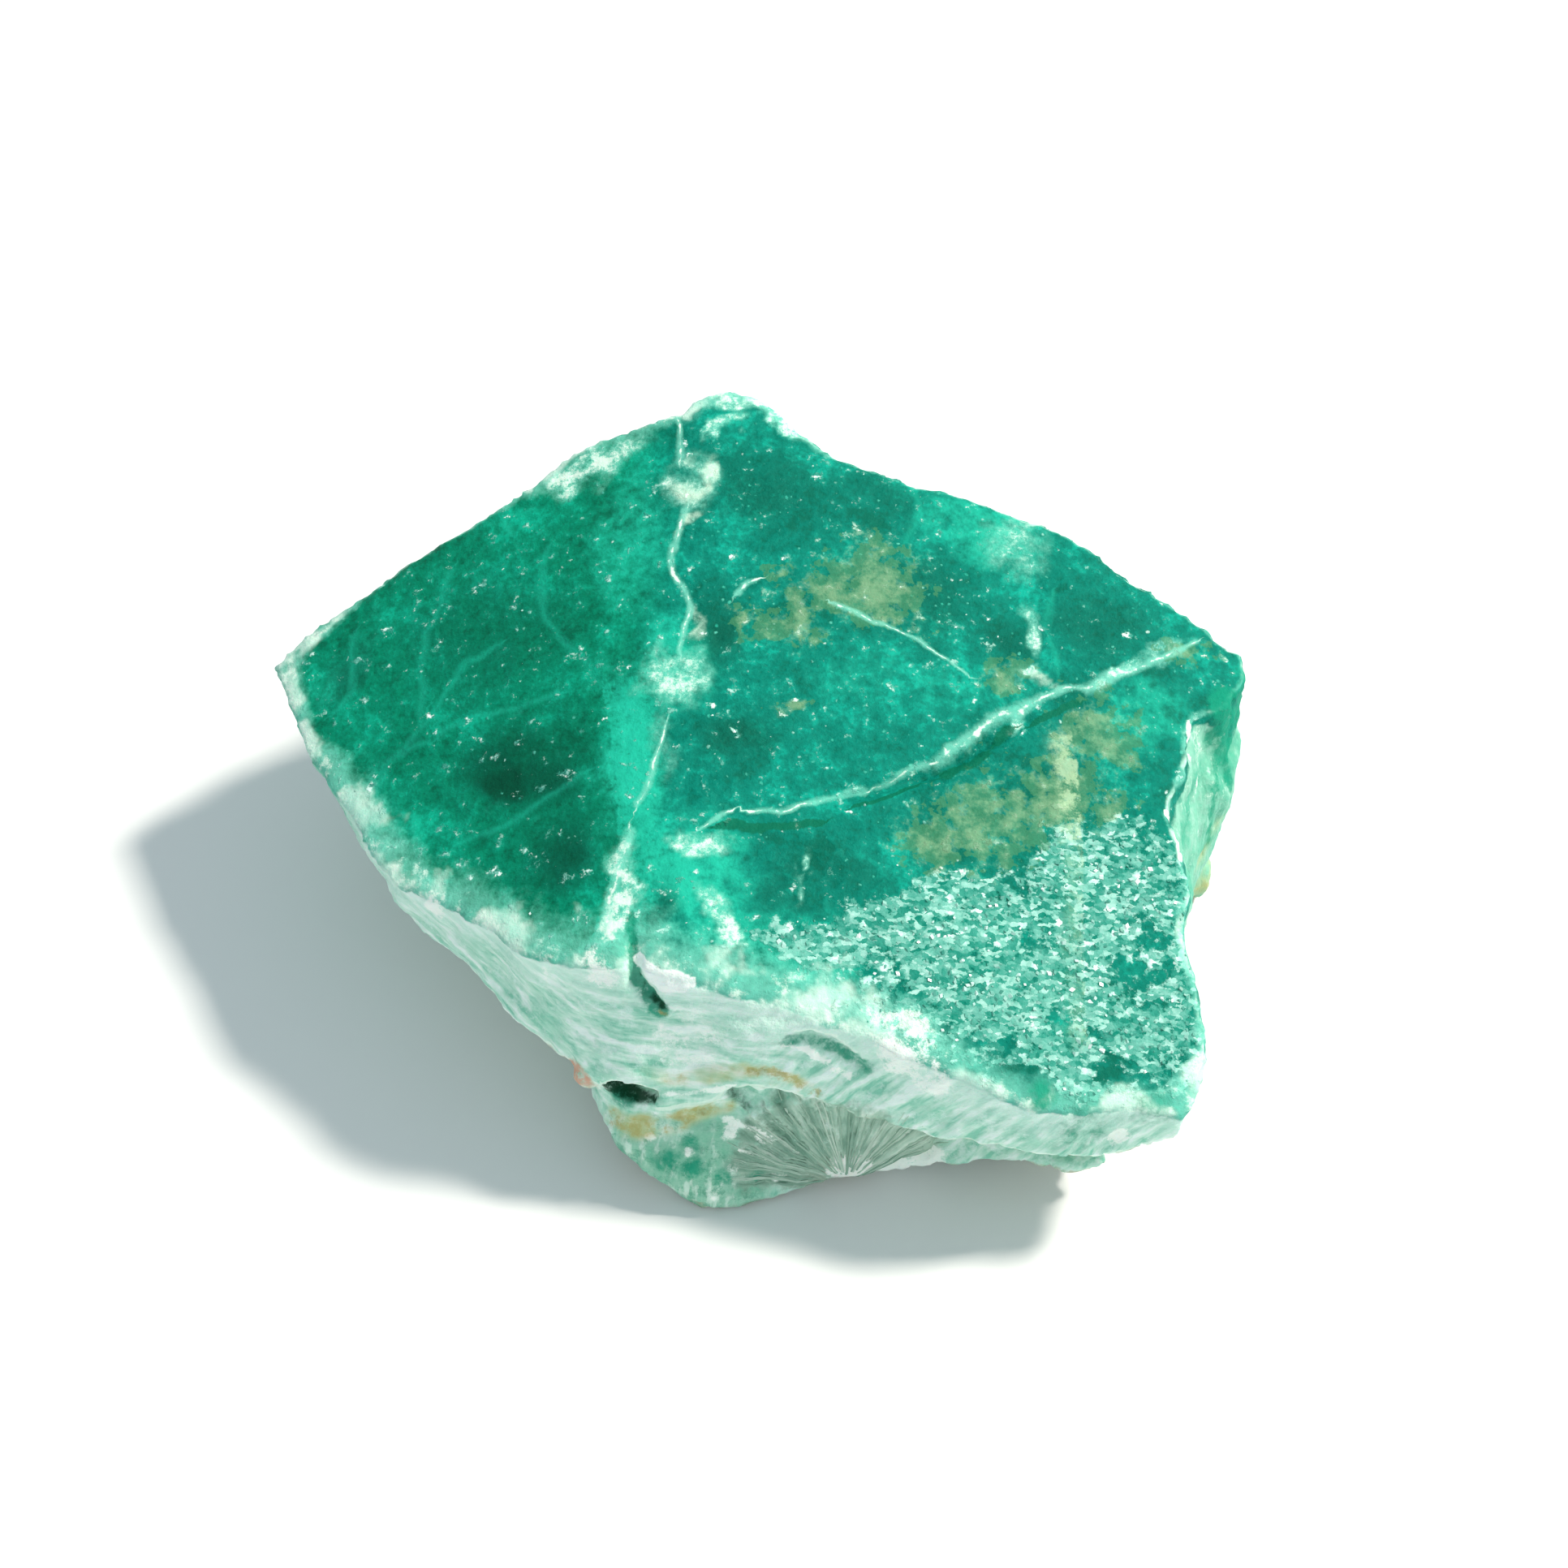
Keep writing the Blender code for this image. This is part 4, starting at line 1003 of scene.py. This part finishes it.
    edge = ragged_edge(tree, "skin", mottle, 1.2, 0.25, 0.7)
    colour = add(tree, "ShaderNodeMix", edge, sides, surface, data_type="RGBA")
    colour = layered(tree, colour, [
        # Green crystal on the sides, with painted green shade in the nick and the crack in the
        # rim.
        (ragged_patch(tree, "green", mottle, 4.0, 0.1, 0.9, 0.85), "#0E9273"),
        (ragged_patch(tree, "white", lace, 5.0, 0.3, 0.8, 0.85), "#F3FBF3"),
        (ragged_patch(tree, "limonite", thick, 5.0, 0.0, 1.3, 0.6), settings.limonite),
        (ragged_patch(tree, "limonite", lace, 7.0, 0.6, 1.5, 0.6), "#AAA056"),
        (ragged_patch(tree, "limonite", mottle, 3.0, 0.9, 1.9, 0.5), "#767444"),
        (ragged_patch(tree, "pink", mottle, 4.0, 0.2, 0.9), "#CDA28C"),
        # Painted shade in the pit, the crack in the rim and the gaps in the spray.
        (ragged_patch(tree, "recess_shade", fine, 2.0, 0.1, 1.1, 0.95), "#0A3A22"),
        (ragged_patch(tree, "flake", mottle, 2.0, 0.35, 0.8, 0.9), "#F2FBF6")])

    # The loose and the crowded faces shine a little more than the stone between them.
    sparkle = add(tree, "ShaderNodeMath", frost, 0.6, speck, operation="MULTIPLY_ADD")
    sparkle = add(tree, "ShaderNodeMath", sparkle, edge, operation="MULTIPLY")
    matt = weighted_sum(tree, 0.5, (fine, 0.3), (sparkle, -0.35))

    # Sugary relief on the top face, and silky ridges on the sides.
    steps = add(tree, "ShaderNodeMath", face_tones["Blue"], frost, operation="MULTIPLY")
    sugar = weighted_sum(tree, fine, (mottle, 0.8), (speck, 0.4), (steps, 0.7))
    silk = add(tree, "ShaderNodeMath", streaks, 1.6, fine, operation="MULTIPLY_ADD")
    height = add(tree, "ShaderNodeMix", edge, silk, sugar)
    bump = add(tree, "ShaderNodeBump", named={"Strength": 1.0, "Distance": 0.08 * MM,
                                              "Height": height})
    lean = add(tree, "ShaderNodeVectorMath", faces.outputs["Color"], (0.5, 0.5, 0.5),
               operation="SUBTRACT")
    lean = add(tree, "ShaderNodeVectorMath", lean, operation="SCALE", named={"Scale": sparkle})
    facing = add(tree, "ShaderNodeVectorMath", bump, lean, operation="ADD")
    facing = add(tree, "ShaderNodeVectorMath", facing, operation="NORMALIZE")
    # Green light goes furthest into the stone, about 0.8 mm.
    fill(tree, shader, (), {
        "Base Color": colour, "Roughness": matt, "IOR": SMITHSONITE_IOR,
        "Specular IOR Level": 0.1, "Specular Tint": (0.4, 1.0, 0.85), "Normal": facing,
        "Subsurface Weight": 0.2, "Subsurface Radius": (0.35, 1.0, 0.75),
        "Subsurface Scale": 0.8 * MM})
    return material


def cleavage_grain():
    """Small cleavage faces of clear carbonate: glassy, from green to white."""
    material, tree, shader = new_material("cleavage_grain")
    tone = add(tree, "ShaderNodeAttribute", attribute_name="tone").outputs["Fac"]
    colour = add(tree, "ShaderNodeValToRGB", tone, stops=(
        (0.0, "#2B8F7B"), (0.5, "#68B3A2"), (0.85, "#AEDCD0"), (1.0, "#F8FFFD")))
    haze = add(tree, "ShaderNodeTexNoise", add(tree, "ShaderNodeTexCoord").outputs["Object"],
               1 / (0.3 * MM))
    matt = add(tree, "ShaderNodeMapRange", haze, 0.2, 0.8, 0.12, 0.4)
    fill(tree, shader, (), {"Base Color": colour, "Roughness": matt, "IOR": SMITHSONITE_IOR})
    return material


def fibre_crystal():
    """Silky fibre crystals: grey-green, each fibre a little paler or darker at random, and
    mottled.
    """
    material, tree, shader = new_material("fibre_crystal")
    place = add(tree, "ShaderNodeTexCoord").outputs["Object"]
    cloud = add(tree, "ShaderNodeTexNoise", place, 1 / (0.8 * MM), 3.0, 0.6)
    tone = add(tree, "ShaderNodeAttribute", attribute_name="tone").outputs["Fac"]
    tone = weighted_sum(tree, 0.0, (tone, 0.6), (cloud, 0.5))
    colour = add(tree, "ShaderNodeValToRGB", tone, stops=(
        (0.2, "#7A9F8D"), (0.5, "#8DB09C"), (0.7, "#9FBFAB"), (0.85, "#BAD0C0")))
    matt = add(tree, "ShaderNodeMapRange", cloud, 0.2, 0.8, 0.3, 0.55)
    fill(tree, shader, (), {"Base Color": colour, "Roughness": matt, "IOR": SMITHSONITE_IOR,
                            "Specular IOR Level": 0.15})
    return material


# ---------------------------------------------------------------- grains and fibres


def new_tree(name, inputs):
    """A geometry node tree with named inputs (name, kind, value), and its input node."""
    tree = bpy.data.node_groups.new(name, "GeometryNodeTree")
    tree.interface.new_socket("Geometry", in_out="INPUT", socket_type="NodeSocketGeometry")
    for label, kind, value in inputs:
        socket = tree.interface.new_socket(label, in_out="INPUT", socket_type=kind)
        if value is not None:
            socket.default_value = value
    tree.interface.new_socket("Geometry", in_out="OUTPUT", socket_type="NodeSocketGeometry")
    return tree, add(tree, "NodeGroupInput").outputs


def finish_tree(tree, geometry, material):
    """Ends a tree: real geometry, with its material."""
    real = add(tree, "GeometryNodeRealizeInstances", geometry)
    done = add(tree, "GeometryNodeSetMaterial", real, named={"Material": material})
    add(tree, "NodeGroupOutput", done)


def run_tree(name, source, tree, values):
    """The plain mesh object that a tree makes from a source object's mesh."""
    obj = bpy.data.objects.new(name, source.data.copy())
    bpy.context.scene.collection.objects.link(obj)
    modifier = obj.modifiers.new(name, "NODES")
    modifier.node_group = tree
    for socket in tree.interface.items_tree:
        if socket.in_out == "INPUT" and socket.name in values:
            modifier[socket.identifier] = values[socket.name]
    plain_mesh(obj)
    return obj


def frost_tree():
    """Cleavage rhombs, scattered where the source's density is high, half sunk in it."""
    tree, given = new_tree("frost_grains", [
        ("Grain Size", "NodeSocketFloat", 0.3 * MM), ("Spacing", "NodeSocketFloat", 0.3 * MM),
        ("Seed", "NodeSocketInt", 0), ("Material", "NodeSocketMaterial", None)])
    density = add(tree, "GeometryNodeInputNamedAttribute", "density", data_type="FLOAT")
    points = add(tree, "GeometryNodeDistributePointsOnFaces", distribute_method="POISSON", named={
        "Mesh": given["Geometry"], "Distance Min": given["Spacing"], "Density Max": MOST_GRAINS,
        "Density Factor": density, "Seed": given["Seed"]})
    cube = add(tree, "GeometryNodeMeshCube", (1.0, 1.0, 1.0))
    upright = add(tree, "GeometryNodeTransform", cube, named={"Rotation": ON_ITS_CORNER})
    rhomb = add(tree, "GeometryNodeTransform", upright, named={"Scale": RHOMB_SHAPE})
    tilt = add(tree, "FunctionNodeRandomValue", (-0.75, -0.75, 0.0), (0.75, 0.75, math.tau), None,
               given["Seed"], data_type="FLOAT_VECTOR")
    turned = add(tree, "FunctionNodeRotateRotation", points.outputs["Rotation"], tilt,
                 rotation_space="LOCAL")
    share = add(tree, "FunctionNodeRandomValue", 0.35, 1.0, None, given["Seed"],
                data_type="FLOAT")
    # Where grains are few, they are small.
    thickly = add(tree, "ShaderNodeMapRange", density, 0.0, 0.3, 0.5, 1.0)
    size = add(tree, "ShaderNodeMath", share, given["Grain Size"], operation="MULTIPLY")
    size = add(tree, "ShaderNodeMath", size, thickly, operation="MULTIPLY")
    grains = add(tree, "GeometryNodeInstanceOnPoints", points, named={
        "Instance": rhomb, "Rotation": turned, "Scale": size})
    tone = add(tree, "FunctionNodeRandomValue", 0.0, 1.0, None, 11, data_type="FLOAT")
    toned = add(tree, "GeometryNodeStoreNamedAttribute", grains, data_type="FLOAT",
                domain="INSTANCE", named={"Name": "tone", "Value": tone})
    finish_tree(tree, toned, given["Material"])
    return tree


class SMITHSONITE_OT_frost(bpy.types.Operator):
    """Scatters cleavage grains over the broken top face"""

    bl_idname = "smithsonite.frost"
    bl_label = "Cleavage grains"

    def execute(self, context):
        settings = context.scene.smithsonite_frost
        grains = run_tree("cleavage_grains", bpy.data.objects["broken_stone"], frost_tree(), {
            "Grain Size": settings.grain_size, "Spacing": settings.spacing,
            "Seed": settings.seed, "Material": cleavage_grain()})
        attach(grains, "root")
        return {"FINISHED"}


def spray_tree():
    """Thin fibres that fan out from one root, each laid on the source's front surface."""
    tree, given = new_tree("fibre_spray", [
        ("Fibres", "NodeSocketInt", 100), ("Thickness", "NodeSocketFloat", 0.1 * MM),
        ("Seed", "NodeSocketInt", 0), ("Material", "NodeSocketMaterial", None)])
    points = add(tree, "GeometryNodePoints", given["Fibres"])
    share = add(tree, "ShaderNodeMath", add(tree, "GeometryNodeInputIndex"), given["Fibres"],
                operation="DIVIDE")
    points = add(tree, "GeometryNodeStoreNamedAttribute", points, data_type="FLOAT",
                 named={"Name": "share", "Value": share})
    shuffle = add(tree, "FunctionNodeRandomValue", None, None, None, given["Seed"],
                  data_type="FLOAT_VECTOR")
    points = add(tree, "GeometryNodeStoreNamedAttribute", points, data_type="FLOAT_VECTOR",
                 named={"Name": "shuffle", "Value": shuffle})
    line = add(tree, "GeometryNodeCurvePrimitiveLine", None, (0.0, 0.0, 1.0))
    line = add(tree, "GeometryNodeResampleCurve", line, named={"Count": 9})
    lines = add(tree, "GeometryNodeInstanceOnPoints", points, named={"Instance": line})
    curves = add(tree, "GeometryNodeRealizeInstances", lines)

    part = add(tree, "GeometryNodeInputNamedAttribute", "share", data_type="FLOAT")
    mixed = add(tree, "GeometryNodeInputNamedAttribute", "shuffle", data_type="FLOAT_VECTOR")
    odds = add(tree, "ShaderNodeSeparateXYZ", mixed).outputs
    along = add(tree, "GeometryNodeSplineParameter").outputs["Factor"]
    turned = add(tree, "ShaderNodeMath", odds["X"], 0.03, part, operation="MULTIPLY_ADD")
    angle = add(tree, "ShaderNodeMapRange", turned, 0.0, 1.0, *SPRAY_FAN, clamp=False)
    # Each fibre starts somewhere in the inner part of the fan, and ends short of its reach.
    side, middle = SPRAY_LENGTH
    arch = add(tree, "ShaderNodeMath", part, math.pi, operation="MULTIPLY")
    arch = add(tree, "ShaderNodeMath", arch, operation="SINE")
    reach = add(tree, "ShaderNodeMath", arch, (middle - side) * MM, side * MM,
                operation="MULTIPLY_ADD")
    start = add(tree, "ShaderNodeMath", odds["Y"], 1.6, operation="POWER")
    start = add(tree, "ShaderNodeMapRange", start, 0.0, 1.0, 0.02, 0.7)
    end = add(tree, "ShaderNodeMapRange", odds["Z"], 0.0, 1.0, 0.72, 1.0)
    out = add(tree, "ShaderNodeMapRange", along, 0.0, 1.0, start, end)
    out = add(tree, "ShaderNodeMath", out, reach, operation="MULTIPLY")
    cosine = add(tree, "ShaderNodeMath", angle, operation="COSINE")
    sine = add(tree, "ShaderNodeMath", angle, operation="SINE")
    way = add(tree, "ShaderNodeCombineXYZ", cosine, 0.0, sine)
    root = (np.array(SPRAY_ROOT) - OFFSET) * MM
    spot = add(tree, "ShaderNodeVectorMath", way, operation="SCALE", named={"Scale": out})
    spot = add(tree, "ShaderNodeVectorMath", spot, (root[0], -0.05, root[2]), operation="ADD")
    laid = add(tree, "GeometryNodeRaycast", given["Geometry"], named={
        "Source Position": spot, "Ray Direction": (0.0, 1.0, 0.0), "Ray Length": 0.05})
    placed = add(tree, "GeometryNodeSetPosition", curves,
                 named={"Position": laid.outputs["Hit Position"]})
    taper = add(tree, "ShaderNodeMapRange", along, 0.55, 1.0, 1.0, 0.25)
    width = add(tree, "ShaderNodeMath", taper, given["Thickness"], operation="MULTIPLY")
    profile = add(tree, "GeometryNodeCurvePrimitiveCircle", 4)
    solid = add(tree, "GeometryNodeCurveToMesh", placed, profile,
                named={"Scale": width, "Fill Caps": True})
    toned = add(tree, "GeometryNodeStoreNamedAttribute", solid, data_type="FLOAT",
                named={"Name": "tone", "Value": odds["Z"]})
    flat = add(tree, "GeometryNodeSetShadeSmooth", toned, named={"Shade Smooth": False})
    finish_tree(tree, flat, given["Material"])
    return tree


class SMITHSONITE_OT_spray(bpy.types.Operator):
    """Lays fibre crystals over the spray in the recess under the rim"""

    bl_idname = "smithsonite.spray"
    bl_label = "Fibre crystals"

    def execute(self, context):
        settings = context.scene.smithsonite_spray
        fibres = run_tree("fibre_crystals", bpy.data.objects["broken_stone"], spray_tree(), {
            "Fibres": settings.fibres, "Thickness": settings.thickness,
            "Seed": settings.seed, "Material": fibre_crystal()})
        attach(fibres, "root")
        return {"FINISHED"}


# ---------------------------------------------------------------- floor, lights, camera


def matt_floor(settings):
    """Matt painted board: a very faint unevenness, and no shine."""
    material, tree, shader = new_material("matt_floor")
    # The unevenness is about 33 mm wide.
    cloud = add(tree, "ShaderNodeTexNoise", add(tree, "ShaderNodeTexCoord").outputs["Object"],
                30.0)
    tone = layered(tree, settings.floor_colour, [(cloud, "#E9EAEA")])
    fill(tree, shader, (), {"Base Color": tone, "Roughness": 0.85})
    return material


def look_along(obj, way):
    """Turns a light or a camera to face this way."""
    obj.rotation_euler = Vector(way).to_track_quat("-Z", "Y").to_euler()


class SMITHSONITE_OT_stage(bpy.types.Operator):
    """Makes the floor, the lights and the camera"""

    bl_idname = "smithsonite.stage"
    bl_label = "Stage"

    def execute(self, context):
        settings = context.scene.smithsonite_stage
        scene = context.scene
        bpy.ops.mesh.primitive_plane_add(size=settings.floor_width)
        floor = context.object
        floor.name = "floor"
        floor.data.materials.append(matt_floor(settings))

        for name, power, width, way, distance, colour in (
                ("key_light", settings.key_power, settings.key_width, KEY_WAY, KEY_DISTANCE,
                 "#FFF7EC"),
                ("fill_light", settings.fill_power, FILL_WIDTH * MM, FILL_WAY, FILL_DISTANCE,
                 "#FFFFFF")):
            lamp = bpy.data.lights.new(name, "AREA")
            lamp.energy = power
            lamp.size = width
            lamp.color = linear(colour)
            light = bpy.data.objects.new(name, lamp)
            scene.collection.objects.link(light)
            light.location = Vector(way) * -distance * MM
            look_along(light, way)

        world = bpy.data.worlds.new("soft_sky")
        world.use_nodes = True
        fill(world.node_tree, world.node_tree.nodes["Background"], (), {
            "Color": settings.sky_colour, "Strength": settings.sky_strength})
        scene.world = world

        view = bpy.data.cameras.new("camera")
        view.lens = CAMERA_LENS
        view.sensor_width = CAMERA_SENSOR
        view.clip_start = CAMERA_CLIP * MM
        camera = bpy.data.objects.new("camera", view)
        scene.collection.objects.link(camera)
        rise = math.radians(CAMERA_RISE)
        way = Vector((0.0, math.cos(rise), -math.sin(rise)))
        camera.location = (Vector(CAMERA_TARGET) - way * CAMERA_DISTANCE) * MM
        look_along(camera, way)
        scene.camera = camera
        scene.view_settings.view_transform = "Standard"
        return {"FINISHED"}


class SMITHSONITE_PT_panel(bpy.types.Panel):
    """Settings and steps of the smithsonite"""

    bl_idname = "SMITHSONITE_PT_panel"
    bl_label = "Smithsonite"
    bl_space_type = "VIEW_3D"
    bl_region_type = "UI"
    bl_category = "Smithsonite"

    def draw(self, context):
        for name, operator in STEPS.items():
            box = self.layout.box()
            settings = getattr(context.scene, "smithsonite_" + name)
            for key in settings.__annotations__:
                box.prop(settings, key)
            box.operator(operator.bl_idname)


SETTINGS = {"stone": StoneSettings, "frost": FrostSettings, "spray": SpraySettings,
            "stage": StageSettings}
STEPS = {"stone": SMITHSONITE_OT_stone, "frost": SMITHSONITE_OT_frost,
         "spray": SMITHSONITE_OT_spray, "stage": SMITHSONITE_OT_stage}


def register():
    for name, settings in SETTINGS.items():
        bpy.utils.register_class(settings)
        setattr(bpy.types.Scene, "smithsonite_" + name, bpy.props.PointerProperty(type=settings))
    for operator in STEPS.values():
        bpy.utils.register_class(operator)
    bpy.utils.register_class(SMITHSONITE_PT_panel)


def unregister():
    bpy.utils.unregister_class(SMITHSONITE_PT_panel)
    for operator in reversed(STEPS.values()):
        bpy.utils.unregister_class(operator)
    for name, settings in SETTINGS.items():
        delattr(bpy.types.Scene, "smithsonite_" + name)
        bpy.utils.unregister_class(settings)


def main():
    register()
    bpy.ops.smithsonite.stone()
    bpy.ops.smithsonite.frost()
    bpy.ops.smithsonite.spray()
    bpy.ops.smithsonite.stage()


if __name__ == "__main__":
    main()
